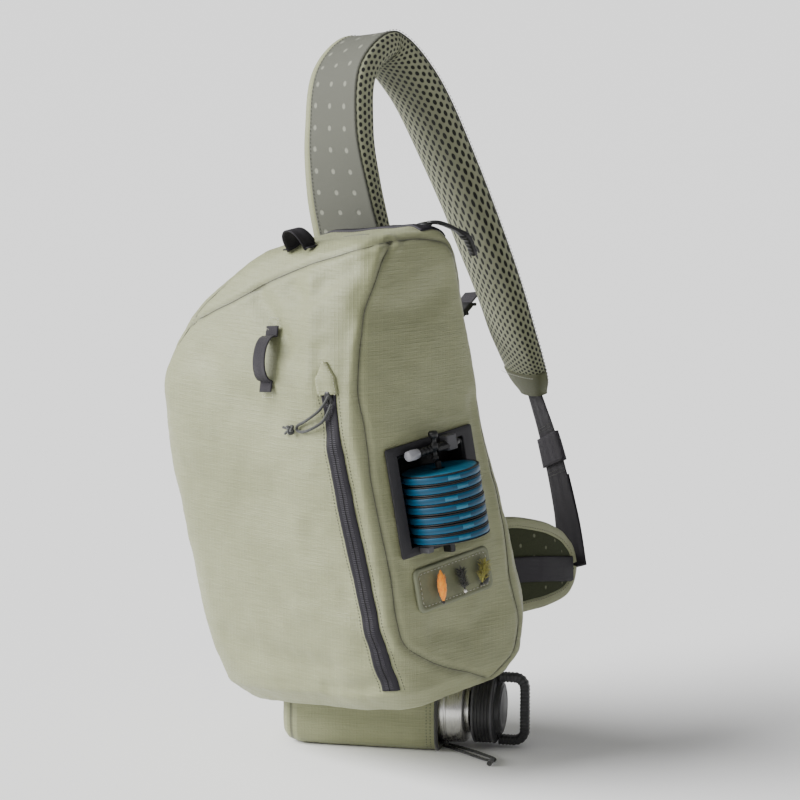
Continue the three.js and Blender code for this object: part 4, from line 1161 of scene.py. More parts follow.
class SLINGBAG_OT_spools(bpy.types.Operator):
    """Tippet spools with their dark bands, the bar through them, the toggle and its clip"""

    bl_idname = "sling_bag.spools"
    bl_label = "Tippet spools"

    def execute(self, context):
        chance = random.Random(11)
        radius, half = sizes().spool_radius, 4.0
        pitch = (SPOOLS_HIGH - SPOOLS_LOW) / SPOOL_PLACES
        for number in range(sizes().spool_count):
            z = SPOOLS_LOW + pitch * (number + 0.5)
            axis = unit(np.array((chance.uniform(-0.012, 0.012), chance.uniform(-0.01, 0.01), 1)))
            centre = (BAR_X + chance.uniform(-0.4, 0.3), WELL_Y + chance.uniform(-0.5, 0.5), z)
            # One half of the section, from a flange's face to the groove; the other mirrors it
            flange = [
                (0, 4), (0, radius - 9), (0.4, radius - 8), (0.4, radius - 2.4), (0.1, radius - 1.4),
                (0.1, radius - 0.4), (0.4, radius), (0.8, radius), (1.1, radius - 0.4), (1.2, radius - 3.4),
            ]
            profile = [(x - half, r) for x, r in flange] + [(half - x, r) for x, r in reversed(flange)]
            profile.append(profile[0])
            spool = turned(f"spool_rims_{number + 1}", profile, centre, axis, sides=96)
            dress(spool, "black_plastic", "plastic", f"spool_{number + 1}")
            wrap = [
                (-2.75, radius - 4), (-2.75, radius - 1.0), (-2.5, radius - 0.45), (-1.9, radius - 0.2),
                (0, radius - 0.1), (1.9, radius - 0.2), (2.5, radius - 0.45), (2.75, radius - 1.0),
                (2.75, radius - 4), (-2.75, radius - 4),
            ]
            rim = {"rim": [1.0 if 1.5 < abs(at) < 2.6 else 0.0 for at, _ in wrap]}
            piece = turned(f"spool_wrap_{number + 1}", wrap, centre, axis, sides=96, attributes=rim)
            dress(piece, "teal_plastic", "spool")
            turn = math.radians(chance.uniform(-38, -8))
            self.label(number, np.array(centre), axis, radius, turn)
        cover = [(3.7, 5), (4.05, 5.4), (4.05, radius - 4), (3.9, radius - 2.4), (3.7, radius - 2.2)]
        cover.append(cover[0])
        # Painted light: the face takes the paler label teal, so it looks lit though the well shades it
        face = turned("spool_face", cover, centre, axis, sides=96)
        dress(face, "spool_label_and_face_light", "spool")
        redress("spool_bar", "black_plastic")
        self.toggle()
        return {"FINISHED"}

    def label(self, number, centre, axis, radius, turn):
        """A plain paler patch wrapped on the band."""
        table = []
        for up in (-1.7, -1.5, 1.5, 1.7):
            row = []
            for angle in np.linspace(turn - 0.16, turn + 0.16, 14):
                way = np.array((math.cos(angle), math.sin(angle), 0))
                row.append(centre + way * (radius + (0.15 if abs(up) < 1.6 else -0.5)) + axis * up)
            table.append(row)
        back = [[point - unit(point - centre) * 1.2 for point in row] for row in reversed(table)]
        table = table + back + [table[0]]
        dress(grid(f"spool_label_and_face_light_{number + 1}", table), "spool_label_and_face_light", "spool")

    def toggle(self):
        profile = [(-30, 0.05), (-30, 2.6), (-29, 3.4), (-24, 3.6)]
        for step in range(9):
            start = -24 + step * 4.6
            profile += [(start + 0.3, 2.7), (start + 2.0, 2.7), (start + 2.4, 3.6), (start + 4.3, 3.6)]
        profile += [(19, 3.6), (23, 3.4), (26, 2.6), (26, 0.05)]
        rod_piece = turned("toggle_rod", profile, (BAR_X, WELL_Y, TOGGLE_Z), (0, 1, 0), sides=28)
        dress(rod_piece, "black_plastic", "plastic", "spool_toggle")
        end = [(-35, 0.05), (-35, 3.0), (-34, 4.1), (-28, 4.4), (-23, 4.0), (-22, 2.8), (-22, 0.05)]
        end_piece = turned("toggle_end", end, (125.5, WELL_Y, TOGGLE_Z + 0.5), (0, 1, 0), sides=28)
        dress(end_piece, "pale_plastic", "plastic")
        post = [
            (-9, 0.05), (-9, 2.6), (-7, 3.0), (-6, 2.0), (-1, 1.8), (0, 3.2), (4, 3.4), (5, 2.2), (9, 2.2),
            (10, 3.8), (13, 4.1), (14.5, 3.2), (15, 0.05),
        ]
        post_piece = turned("bar_post", post, (125.8, WELL_Y - 4, TOGGLE_Z), (0.1, 0, 1), sides=24)
        dress(post_piece, "black_plastic", "plastic")
        for name, y, up, half_y, half_z, finish in (
            ("toggle_tab", 16, 207.4, 5.4, 6.2, "grey_plastic"),
            ("bar_foot", -27, 128.4, 3.6, 2.8, "grey_plastic"),
            ("bar_block", -2, 124.6, 2.6, 4.4, "black_plastic"),
            ("bar_clasp", 6, 205.2, 7.0, 2.2, "black_plastic"),
        ):
            rings = [
                (118, 0.1, 0.1, 0.05), (118, half_y - 0.6, half_z - 0.6, 1), (118.6, half_y, half_z, 1.4),
                (127, half_y, half_z, 1.4), (127.8, half_y - 0.8, half_z - 0.8, 1.2), (127.8, 0.1, 0.1, 0.05),
            ]
            dress(sharp(plate(name, rings, (WELL_Y + y, up))), finish, "plastic")


# How a fly is tied: its body, and its fibres, which start off the body's middle and spread from it
SMOOTH_FLY = {"plump": 0.40, "length": 27, "fibres": 30, "spread": 0.1, "off": 0.3, "head": -13.4}
FURRED_FLY = {"plump": 0.16, "length": 23, "fibres": 240, "spread": 1, "off": 0.16, "head": -11}


def ball_profile(along, out, steps, start=0.0):
    """The (along, radius) pairs of a ball or an egg."""
    turns = np.linspace(-1.57, 1.57, steps)
    return [(start + along * math.sin(turn), max(0.03, out * math.cos(turn))) for turn in turns]


class SLINGBAG_OT_fly_patch(bpy.types.Operator):
    """Foam fly patch with its pale edge and stitches, and the three flies hooked into it"""

    bl_idname = "sling_bag.fly_patch"
    bl_label = "Fly patch and flies"

    def execute(self, context):
        face, centre = WELL_FACE, (8, 96)
        rings = [
            (face - 1.2, 0.06, 0.06, 0.05), (face - 1.2, 41, 16, 5), (face - 1.2, 43, 18, 6),
            (face + 0.2, 43.3, 18.3, 6), (face + 1.6, 43, 18, 6), (face + 2.3, 42, 17, 5.4),
            (face + 2.3, 40.4, 15.4, 4.6), (face + 1.8, 39.6, 14.6, 4.4), (face + 2.0, 36, 12, 4),
            (face + 2.3, 18, 7, 3), (face + 2.3, 0.06, 0.06, 0.05),
        ]
        rim = [0, 0, 0.7, 1, 1, 0.9, 0.8, 0, 0, 0, 0]
        dress(plate("patch_foam", rings, centre, {"rim": rim}), "patch_foam", "fabric", "fly_patch")
        lines = [line_on_plate(face + 2.0, 38.6, 13.6, 3.8, centre)]
        stitches("patch_stitches", lines, "light_thread", "fabric", 4.0, 0.4)
        for word, y, width, tilt, fur, head in (
            ("orange", -12.5, 9.5, 4, "orange_fibre", "black_fibre"),
            ("black", 12.0, 9, -4, "black_fibre", "white_bead"),
            ("olive", 36.0, 11, 24, "olive_fibre", "black_fibre"),
        ):
            self.fly(word, y, width, tilt, fur, head, SMOOTH_FLY if word == "orange" else FURRED_FLY)
        return {"FINISHED"}

    def fly(self, word, y, width, tilt, fur, head, build):
        lean = math.radians(tilt)
        along = np.array((0.0, math.sin(lean), math.cos(lean)))
        side = np.array((0.0, math.cos(lean), -math.sin(lean)))
        out = np.array((1.0, 0.0, 0.0))
        centre = np.array((WELL_FACE + 2.7 + width / 2, y, 96.0))
        slot = f"{word}_fly"
        profile = []
        for share in np.linspace(0, 1, 22):
            ripple = 1 + 0.05 * math.sin(share * 40)
            swell = math.sin(math.pi * share) ** 0.8 * width * build["plump"] * ripple
            profile.append(((share - 0.5) * build["length"], max(0.05, swell)))
        profile[0] = (profile[0][0], 0.03)
        profile[-1] = (profile[-1][0], 0.03)
        dress(turned(f"{word}_fly_body", profile, centre, along, sides=20), fur, slot, f"fly_{word}")
        chance = random.Random(int(y * 10) + 500)
        copies = []
        for _ in range(build["fibres"]):
            turn = chance.uniform(0, 2 * math.pi)
            share = chance.uniform(-0.5, 0.45)
            way = side * math.cos(turn) + out * math.sin(turn) * 0.9
            reach = width * chance.uniform(0.16, 0.40)
            direction = unit(way * build["spread"] + along * chance.uniform(0.2, 1.6))
            cross = unit(np.cross(direction, along + 0.01))
            place = centre + along * share * 16 + way * width * build["off"] + direction * reach * 0.6
            copies.append((place, (direction, cross, np.cross(direction, cross)), (reach, 0.17, 0.17)))
        dress(repeated(f"{word}_fly_fibres", copies), fur, slot)
        bead = turned(f"{word}_fly_head", ball_profile(1.5, 1.5, 12, build["head"]), centre, along, sides=18)
        dress(bead, head, slot)
        if word == "olive":
            knob = ball_profile(4.6, 3.2, 14)
            lump = turned("olive_fly_hackle", knob, centre - along * 6 + side * 3.4, along, sides=20)
            dress(lump, "black_fibre", slot)
        bend = [centre + along * (9 - 20 * share) - out * 0.2 for share in np.linspace(0, 1, 8)]
        for share in np.linspace(0.1, 1, 10):
            turn = math.pi * share
            bend.append(centre - along * (11 + 2.6 * math.sin(turn)) - out * 2.1 * (1 - math.cos(turn)) / 2)
        dress(rod(f"{word}_fly_hook", bend, 0.35, sides=8), "fine_steel", slot)


# Strap and pad: each row has shares of a reach to the side, away from the bag and up,
# the turn of the flat across, and shares of the width and the thickness
STRAP_ROWS = [
    (0, 0, -0.56, 0, 0.70, 0.45), (0, 0.004, -0.38, 0, 0.92, 0.70), (0, 0.006, -0.12, 0, 1, 0.90),
    (0.01, -0.02, 0.14, -4, 1, 1), (0.03, -0.02, 0.42, -12, 1, 1.1), (0.06, 0.05, 0.68, -15, 1, 1.1),
    (0.09, 0.26, 0.78, -17, 1, 1.06), (0.13, 0.43, 0.58, -19, 1, 1), (0.15, 0.57, 0.20, -20, 0.98, 0.95),
    (0.17, 0.70, -0.30, -20, 0.92, 0.85), (0.18, 0.765, -0.64, -20, 0.84, 0.75),
    (0.18, 0.805, -0.82, -20, 0.72, 0.60), (0.18, 0.82, -0.90, -20, 0.44, 0.45),
]
STRAP_REACH = 200
STRAP_FOOT = (-26, 87.5, 382)
PAD_ROWS = [
    (0, 0, 0, 0, 1, 1), (0.01, 0.30, -0.05, 0, 0.98, 1), (0, 0.60, -0.12, 0, 0.86, 1),
    (-0.03, 0.82, -0.18, 0, 0.68, 1), (-0.06, 0.94, -0.21, 0, 0.46, 0.9), (-0.08, 1, -0.23, 0, 0.20, 0.7),
]
PAD_LENGTH = 112
PAD_ROOT = (72, 0, 80)


def stations(rows, root, reach, steps, width, thick, upright=False):
    """Places, ways across, ways out, widths and thicknesses along a strap."""
    rows = np.asarray(rows, float)
    home = np.asarray(root, float) + rows[:, :3] * reach
    shares = np.linspace(0, 1, steps + 1)
    places = np.array([curve_at(home, t) for t in shares])
    run = tangents(places)
    at = np.linspace(0, 1, len(rows))
    mix = np.stack([np.interp(shares, at, rows[:, axis]) for axis in (3, 4, 5)], axis=1)
    kernel = np.ones(5) / 5
    for axis in range(3):
        padded = np.concatenate([[mix[0, axis]] * 2, mix[:, axis], [mix[-1, axis]] * 2])
        mix[:, axis] = np.convolve(padded, kernel, "valid")
    if upright:
        out = unit(np.cross((0, 0, 1), run))
        across = unit(np.cross(run, out))
    else:
        turn = np.radians(mix[:, 0])
        across = np.stack([np.cos(turn), np.sin(turn), np.zeros_like(turn)], axis=1)
        across = square_to(run, across)
        out = unit(np.cross(run, across))
    return places, across, out, mix[:, 1] * width, mix[:, 2] * thick


def padded_band(name, line, section, lift=0.0, wave=None):
    """A strip with its own width and thickness at each station; section is in shares of both."""
    places, across, out, width, thick = line
    table = []
    for number in range(len(places)):
        side, up = section[:, 0] * width[number] / 2, section[:, 1] * thick[number] + lift
        if wave is not None:
            up = up + wave[number] * (section[:, 1] > 0.5)
        table.append(places[number] + side[:, None] * across[number] + up[:, None] * out[number])
    return grid(name, capped(table))


def dome(edge=0.32):
    """The strap's section: a nearly flat lower face, low edges and a crowned upper face."""
    flat = 0.04
    points = [(-0.97, flat), (-0.5, flat * 0.5), (0, flat), (0.5, flat * 0.5), (0.97, flat)]
    points += [(1, 0.14), (1, edge)]
    for turn in np.linspace(0.12, math.pi - 0.12, 21):
        points.append((math.cos(turn) * 0.985, edge + (1 - edge) * math.sin(turn) ** 0.75))
    points += [(-1, edge), (-1, 0.14), (-0.97, flat)]
    return spaced(np.array(points) * (1, 0.9), 56)


def edge_line(line, side, up, inset=0.0):
    """The line along one edge of a strap, at a share of its thickness."""
    places, across, out, width, thick = line
    return places + across * (side * (width / 2 - inset))[:, None] + out * (up * thick)[:, None]


class SLINGBAG_OT_shoulder_strap(bpy.types.Operator):
    """Shoulder strap: crowned spacer mesh, grey liner, bound edges and end, and their stitches"""

    bl_idname = "sling_bag.shoulder_strap"
    bl_label = "Shoulder strap"

    def execute(self, context):
        size = sizes()
        line = stations(STRAP_ROWS, STRAP_FOOT, STRAP_REACH, 150, size.strap_width - 1.4, size.strap_thick)
        places, across, out, _, thick = line
        wave = [0.5 * noise.noise(Vector((number / 6, 3, 1))) for number in range(len(places))]
        core = padded_band("strap_padding", line, dome(), wave=np.array(wave))
        dress(core, "spacer_mesh", "mesh", "shoulder_strap", padded_fill=0.8)
        low, high = (-0.93, -0.02), (0.93, 0.05)
        face = np.array([low, (high[0], low[1]), high, (0.0, high[1]), (low[0], high[1]), low])
        dress(padded_band("strap_liner", line, spaced(face, 60)), "liner", "mesh")
        path = edge_line(line, -1, 0.10, 2.6)
        section = outline(24, 3.2, 10.5, 8.4)
        grow = np.stack([np.ones_like(thick), np.clip(thick / thick.max(), 0.4, 1)], axis=1)
        dress(band("strap_edge", path, across, out, section, grow=grow), "sage_binding", "fabric")
        self.bound_end(line)
        rows = [(edge_line(line, side, -0.04, inset), -out) for side, inset in ((-1, 8.6), (1, 2.6))]
        stitches("strap_stitches", rows, "dark_thread_and_slit_shade", "fabric", 3.4, 0.42)
        return {"FINISHED"}

    def bound_end(self, line):
        """A cuff of darker cloth over the strap's lower end."""
        places, across, out, width, thick = (part[-17:] for part in line)
        cuff = (places, across, out, width + 1.2, thick + 1.0)
        section = dome(edge=0.36) * (1, 1.03)
        dress(padded_band("strap_end_binding", cuff, section, lift=-0.4), "binding", "fabric")
        shares = np.linspace(-0.9, 0.9, 30)[:, None]
        height = (thick[1] + 0.9) * 0.93 * (1 - 0.16 * shares**4)
        edge = places[1] + across[1] * shares * width[1] / 2 + out[1] * height
        stitches("strap_end_stitches", [(edge, [out[1]] * 30)], "light_thread", "fabric", 3.0, 0.4)


class SLINGBAG_OT_hip_pad(bpy.types.Operator):
    """Hip pad with its dark inner face, sage binding and the webbing across it"""

    bl_idname = "sling_bag.hip_pad"
    bl_label = "Hip pad"

    def execute(self, context):
        size = sizes()
        spot, _ = onto((PAD_ROOT[0], 80, PAD_ROOT[2]), BACK)
        root = (PAD_ROOT[0], spot[1] - 2.5, PAD_ROOT[2])
        line = stations(PAD_ROWS, root, PAD_LENGTH, 60, size.pad_height - 2, 9, upright=True)
        places, across, out, width, thick = line
        width[-8:] *= np.array([1, 0.985, 0.96, 0.93, 0.88, 0.80, 0.68, 0.45])
        pillow = outline(64, 5, 2, 0.92) + (0, 0.5)
        dress(padded_band("pad_padding", line, pillow), "pad_face", "fabric", "hip_pad", padded_fill=0.6)
        middle = places + out * (thick * 0.5)[:, None]
        reach = across * (width / 2 - 1.6)[:, None]
        rim = np.concatenate([middle + reach, (middle - reach)[::-1]])
        edge = spaced(rim, 150)
        inward = unit(np.concatenate([across, -across[::-1]]))
        inward = spaced(np.concatenate([rim, inward], axis=1), 150)[:, 3:]
        run = tangents(edge)
        cross = square_to(run, unit(inward))
        up = np.cross(run, cross)
        dress(band("pad_binding", edge, cross, up, outline(26, 3.0, 10.4, 10.6)), "sage_binding", "fabric")
        rows = [(edge - cross * 2.6 + up * face * 4.9, up * face) for face in (-1, 1)]
        stitches("pad_stitches", rows, "dark_thread_and_slit_shade", "fabric", 3.2, 0.4)
        part = np.linspace(8, 50, 40).astype(int)
        path = places[part] - out[part] * 0.9 + np.array((0.3, 0, -4.0))
        section = outline(26, 9, 22, 1.5)
        dress(band("pad_strap", path, across[part], out[part], section), "webbing", "webbing", "pad_webbing")
        made_before["pad_end"] = places[-1] + out[-1] * thick[-1] / 2
        return {"FINISHED"}


class SLINGBAG_OT_webbing(bpy.types.Operator):
    """Webbing from the strap's end to the hip pad, its keeper, and the stay from the back to the strap"""

    bl_idname = "sling_bag.webbing"
    bl_label = "Strap webbing and stay"

    def execute(self, context):
        size = sizes()
        line = stations(STRAP_ROWS, STRAP_FOOT, STRAP_REACH, 36, size.strap_width, size.strap_thick)
        places, _, out, _, thick = line
        start = places[-1] + out[-1] * thick[-1] * 0.3 - tangents(places)[-1] * 5
        end = made_before["pad_end"] + np.array((0, 2.6, -3))
        reach = end - start
        home = [start, start + reach * 0.33 + (0, 6, 0), start + reach * 0.7 + (-2, 8, 0), end]
        web = np.array([curve_at(home, t) for t in np.linspace(0, 1, 61)])
        run = tangents(web)
        turn = np.radians(np.interp(np.linspace(0, 1, 61), np.linspace(0, 1, 4), (-20, -10, 0, 20)))
        side = np.stack([np.cos(turn), np.sin(turn), np.zeros_like(turn)], axis=1)
        side = square_to(run, side)
        normal = np.cross(run, side)
        section = outline(30, 9, size.webbing_width, 1.6)
        dress(band("long_webbing", web, side, normal, section), "webbing", "webbing", "strap_webbing")
        keep = slice(17, 27)
        ring = outline(34, 7, size.webbing_width + 4.4, 5.4)
        keeper = band("webbing_band", web[keep], side[keep], normal[keep], ring)
        dress(keeper, "keeper", "webbing", "webbing_keeper")
        fold = slice(30, 61)
        under = web[fold] - normal[fold] * 2.2
        under_piece = band("webbing_fold", under, side[fold], normal[fold], section * (0.97, 1))
        dress(under_piece, "webbing", "webbing")
        rows = []
        for number in (14, 15, 28, 29):
            row = web[number] + np.outer(np.linspace(-11, 11, 20), side[number])
            rows.append((row + normal[number] * 0.9, [normal[number]] * 20))
        stitches("webbing_stitches", rows, "dark_thread_and_slit_shade", "webbing", 2.4, 0.35)
        self.stay(line)
        return {"FINISHED"}

    def stay(self, line):
        """The webbing from the back panel to the strap, with its ladder buckle."""
        places, across, out, width, thick = line
        end = places[28] - across[28] * (width[28] / 2 + 8) + out[28] * thick[28] * 0.5
        start, _ = onto((-33, 80, 229), BACK, 0.6)
        shares = np.linspace(0, 1, 40)
        path = start + shares[:, None] * (end - start) - np.outer(np.sin(math.pi * shares), (0, 0, 5))
        run = tangents(path)
        side = square_to(run, (1, 0, 0))
        normal = np.cross(run, side)
        section = outline(28, 9, 20, 1.6)
        dress(band("stay_webbing", path, side, normal, section), "webbing", "webbing", "strap_stay")
        ladder = path[30:36]
        buckle = band("stay_ladder", ladder, side[30:36], normal[30:36], outline(28, 6, 24, 6))
        dress(buckle, "black_plastic", "plastic")
        for number in (30, 33, 36):
            bar = [path[number] + side[number] * x + normal[number] * 3.2 for x in np.linspace(-11, 11, 8)]
            dress(rod(f"stay_bar_{number}", bar, 1.5), "black_plastic", "plastic")


# The sleeve, bottle and lid lie in base coordinates, along X

SLEEVE_ROWS = [
    (0, 0.78, 0.80), (0.03, 0.90, 0.92), (0.10, 0.98, 0.99), (0.30, 1, 1), (0.85, 1, 1), (1, 0.955, 1),
]
SLEEVE_START = -69.4
SLEEVE_LENGTH = 136
SLEEVE_HALF_WIDTH = 36.8
SLEEVE_HALF_HEIGHT = 35
SLEEVE_SIDES = 160
SLEEVE_RIBS = 0.055


def sleeve_ring(share, grow, ribs=SLEEVE_RIBS):
    """The sleeve's section at a share of its length: flat below, and ribbed above."""
    rows = np.array(SLEEVE_ROWS)
    wide = np.interp(share, rows[:, 0], rows[:, 1]) * SLEEVE_HALF_WIDTH + grow
    high = np.interp(share, rows[:, 0], rows[:, 2]) * SLEEVE_HALF_HEIGHT + grow
    turn = np.linspace(0, 2 * math.pi, SLEEVE_SIDES + 1)
    cos, sin = np.cos(turn), np.sin(turn)
    power = np.where(sin < 0, 2 / 4, 2 / 2.2)
    rib = (np.mod(turn * 8 / math.pi + 0.5, 1) - 0.5) / 0.13
    shrink = 1 - ribs * np.exp(-(rib**2)) * np.clip(sin + 0.35, 0, 1)
    y = wide * np.sign(cos) * np.abs(cos) ** power * shrink
    z = AXIS_HEIGHT + high * np.sign(sin) * np.abs(sin) ** power * shrink
    x = np.full_like(y, SLEEVE_START + share * SLEEVE_LENGTH)
    return np.stack([x, y, np.maximum(z, max(0.0, -grow))], axis=1)


def on_axis(name, profile, at, sides, up=0.0):
    """A shape spun about the bottle's axis, or one above it, from a place along it."""
    return turned(name, profile, (at, 0, AXIS_HEIGHT + up), (1, 0, 0), BASE, sides)


class SLINGBAG_OT_sleeve(bpy.types.Operator):
    """Bottle sleeve: ribbed cloth with a gathered, corded mouth"""

    bl_idname = "sling_bag.sleeve"
    bl_label = "Bottle sleeve"

    def execute(self, context):
        shares = np.concatenate([np.linspace(0, 0.12, 14), np.linspace(0.14, 1, 90)])
        outer = [sleeve_ring(share, 0) for share in shares]
        inner = [sleeve_ring(share, -1.6) + (1.8 * (1 - share), 0, 0) for share in shares[::-1]]
        centre = outer[0].mean(axis=0)
        closing = []
        for part in np.linspace(0, 1, 10)[:-1]:
            ring = centre + (outer[0] - centre) * part
            ring[:, 0] = outer[0][0, 0] + 0.6 * (1 - part) ** 2
            closing.append(ring)
        back = [centre + (1.6, 0, 0) + (ring - centre) * 0.93 for ring in closing[::-1]]
        table = np.array([*closing, *outer, *inner, *back])
        for row in table:
            for number, point in enumerate(row[:-1]):
                row[number, 1] += 0.35 * noise.noise(Vector(point) / 14)
            row[-1] = row[0]
        # Painted shade: a dark line round the sleeve near its closed end, as shade in the groove of its sewn
        # join
        seam = np.exp(-(((table[..., 0] - (SLEEVE_START + 8)) / 1.2) ** 2))
        dress(grid("sleeve_cloth", table, BASE, {"seam": seam}), "cloth", "fabric", "bottle_sleeve")
        mouth = sleeve_ring(0.985, 0.3, 0)[:-1] + (0.8, 0, 0)
        mouth[:, 2] = np.maximum(mouth[:, 2], 2.0)
        loop = np.concatenate([mouth, mouth[:1]])
        ring = rod("sleeve_mouth_cord", spaced(loop, 160), 1.7, BASE, 12)
        dress(ring, "dark_cord", "cord")
        rows = []
        for share in (0.93, 0.955):
            edge = sleeve_ring(share, 0.25, SLEEVE_RIBS * 0.6)
            edge = edge[edge[:, 2] > 3]
            rows.append((edge, unit(edge - (edge[0, 0], 0, AXIS_HEIGHT))))
        stitches("sleeve_stitches", rows, "dark_thread_and_slit_shade", "fabric", 2.8, 0.35, to=BASE)
        for number, (dy, dz) in enumerate(((0, 0), (2.6, 1.4), (-2.2, 2.6), (1.4, 4.2), (-1.2, -1.6))):
            ring = [
                (69.6 + 0.4 * number, -13 + dy + 2.2 * math.cos(t), max(4.8 + dz + 2.0 * math.sin(t), 1.4))
                for t in np.linspace(0, 5.6, 14)
            ]
            dress(rod(f"sleeve_gather_{number}", ring, 1.1, BASE, 8), "dark_cord", "cord")
        return {"FINISHED"}


BOTTLE_START = -57.4
BOTTLE_LENGTH = 150
LID_SHOULDER = 20
HANDLE_HEIGHT = 63
HANDLE_REACH = 27
HANDLE_THICKNESS = 8
HANDLE_CORNER = 9


class SLINGBAG_OT_bottle(bpy.types.Operator):
    """Steel bottle with its bright band, and its ribbed lid with a disc end and loop handle"""

    bl_idname = "sling_bag.bottle"
    bl_label = "Bottle and lid"

    def execute(self, context):
        radius = sizes().bottle_radius
        neck = radius * 0.72
        start, top = BOTTLE_START, BOTTLE_LENGTH
        profile = [
            (0, 0.05), (0, radius - 4), (1.2, radius - 1.2), (4, radius), (top - 22, radius),
            (top - 21.4, radius - 0.5), (top - 20.2, radius - 0.5), (top - 19.6, radius), (top - 9, radius),
            (top - 6.4, radius - 0.9), (top - 4.6, radius - 3.2), (top - 4, neck), (top - 2, neck),
            (top - 2, neck - 1.8), (top - 6, neck - 1.8), (top - 7, radius - 4), (top - 10, radius - 1.8),
            (6, radius - 1.8), (2, radius - 5), (2, 0.05), (0, 0.05),
        ]
        dense = [profile[0]]
        for one, two in zip(profile[:-1], profile[1:]):
            count = 1 + int(abs(two[0] - one[0]) / 20)
            dense += [tuple(np.array(one) + (np.array(two) - one) * k / count) for k in range(1, count + 1)]
        dress(sharp(on_axis("steel_bottle", dense, start, 128), 30), "steel", "steel", "bottle")
        lid = start + top + 0.3
        profile = [(0.3, 22.9), (0.3, 28), (1.0, 29.4), (2.4, 30)]
        for step in range(5):
            at = 3.2 + step * 2.9
            profile += [(at, 30), (at + 0.5, 29.1), (at + 1.4, 29.1), (at + 1.9, 30)]
        profile += [
            (18.0, 30), (19.4, 29.2), (20, 27.6), (20.2, 23), (23.6, 22.4), (24.2, 21.4), (24.2, 0.05),
            (6, 0.05), (6, 22.9), (0.3, 22.9),
        ]
        dress(sharp(on_axis("lid_body", profile, lid, 120), 30), "lid_plastic", "plastic", "bottle_lid")
        disc = [
            (24.0, 0.05), (24.0, 19), (24.5, 19.6), (25.0, 19), (25.1, 15), (24.8, 14.4), (25.1, 13.8),
            (25.2, 0.05),
        ]
        dress(on_axis("lid_disc", disc, lid, 96), "grey_plastic", "plastic")
        for number, at in enumerate((1.9, 17.8)):
            ring = [(at - 0.9, 29.6), (at - 0.6, 30.3), (at + 0.6, 30.3), (at + 0.9, 29.6), (at - 0.9, 29.6)]
            dress(on_axis(f"lid_band_{number}", ring, lid, 96), "grey_plastic", "plastic")
        self.handle(lid + LID_SHOULDER)
        return {"FINISHED"}

    def handle(self, base):
        """A flat loop with rounded corners, closely ribbed outside."""
        corner = HANDLE_CORNER
        half, reach = (HANDLE_HEIGHT - HANDLE_THICKNESS) / 2, HANDLE_REACH - HANDLE_THICKNESS / 2
        line = [(1, -half), (reach - corner, -half)]
        for turn in np.linspace(-math.pi / 2, 0, 8)[1:]:
            line.append((reach - corner + corner * math.cos(turn), -half + corner + corner * math.sin(turn)))
        for turn in np.linspace(0, math.pi / 2, 8):
            line.append((reach - corner + corner * math.cos(turn), half - corner + corner * math.sin(turn)))
        line.append((1, half))
        path = spaced(np.array([(base + x, 0, AXIS_HEIGHT + z) for x, z in line]), 170)
        run = tangents(path)
        side = np.array([(0.0, 1.0, 0.0)] * len(path))
        wave = 0.96 * (1 + 0.05 * np.sign(np.sin(np.arange(len(path)) * 1.1)))
        section = outline(28, 4, 11, HANDLE_THICKNESS)
        grow = np.stack([wave, wave], axis=1)
        piece = band("lid_handle", path, side, np.cross(side, run), section, BASE, grow=grow)
        dress(sharp(piece, 40), "lid_plastic", "plastic")
        root = [(0.0, 0.05), (0.0, 7.4), (1.6, 7.4), (2.6, 6.4), (2.6, 0.05)]
        for word, z in (("low", -half), ("high", half)):
            boss = on_axis(f"handle_root_{word}", root, base, 40, z * 0.72)
            dress(boss, "lid_plastic", "plastic")


# The pull cord's route over the front, as x, z and its distance off the cloth, in bag millimetres
FRONT_PULL = [
    (91, 266, 4.4), (86, 260, 4.6), (79, 254, 4.4), (70, 249, 3.5), (60, 245, 2.6), (54, 243, 2.4),
    (53, 239, 2.4), (60, 238, 2.6), (70, 240, 3.5), (81, 245, 4.6), (88, 252, 4.6), (93, 259, 4.4),
]
# The draw cord's route on the surface, in base millimetres
DRAW_CORD = [
    (67.4, -8), (75, -12), (82, -16), (90, -21), (98, -27), (106, -34), (113, -40), (118, -45), (119, -50),
    (114, -51), (107, -46.5), (99, -40), (91, -33), (83, -26), (76, -19), (67.4, -13),
]


def cord_curve(name, points, diameter):
    """One open smooth curve through points in metres, and its length."""
    clear_selection()
    bpy.ops.curve.primitive_bezier_curve_add()
    piece = bpy.context.object
    piece.name = name
    data = piece.data
    data.splines.clear()
    spline = data.splines.new("NURBS")
    spline.points.add(len(points) - 1)
    for spot, point in zip(spline.points, points):
        spot.co = (*point, 1)
    spline.order_u = 4
    spline.use_endpoint_u = True
    spline.resolution_u = 6
    data.bevel_depth = diameter / 2
    data.bevel_resolution = 4
    data.use_fill_caps = True
    length = float(np.linalg.norm(np.diff(np.asarray(points), axis=0), axis=1).sum())
    return piece, length


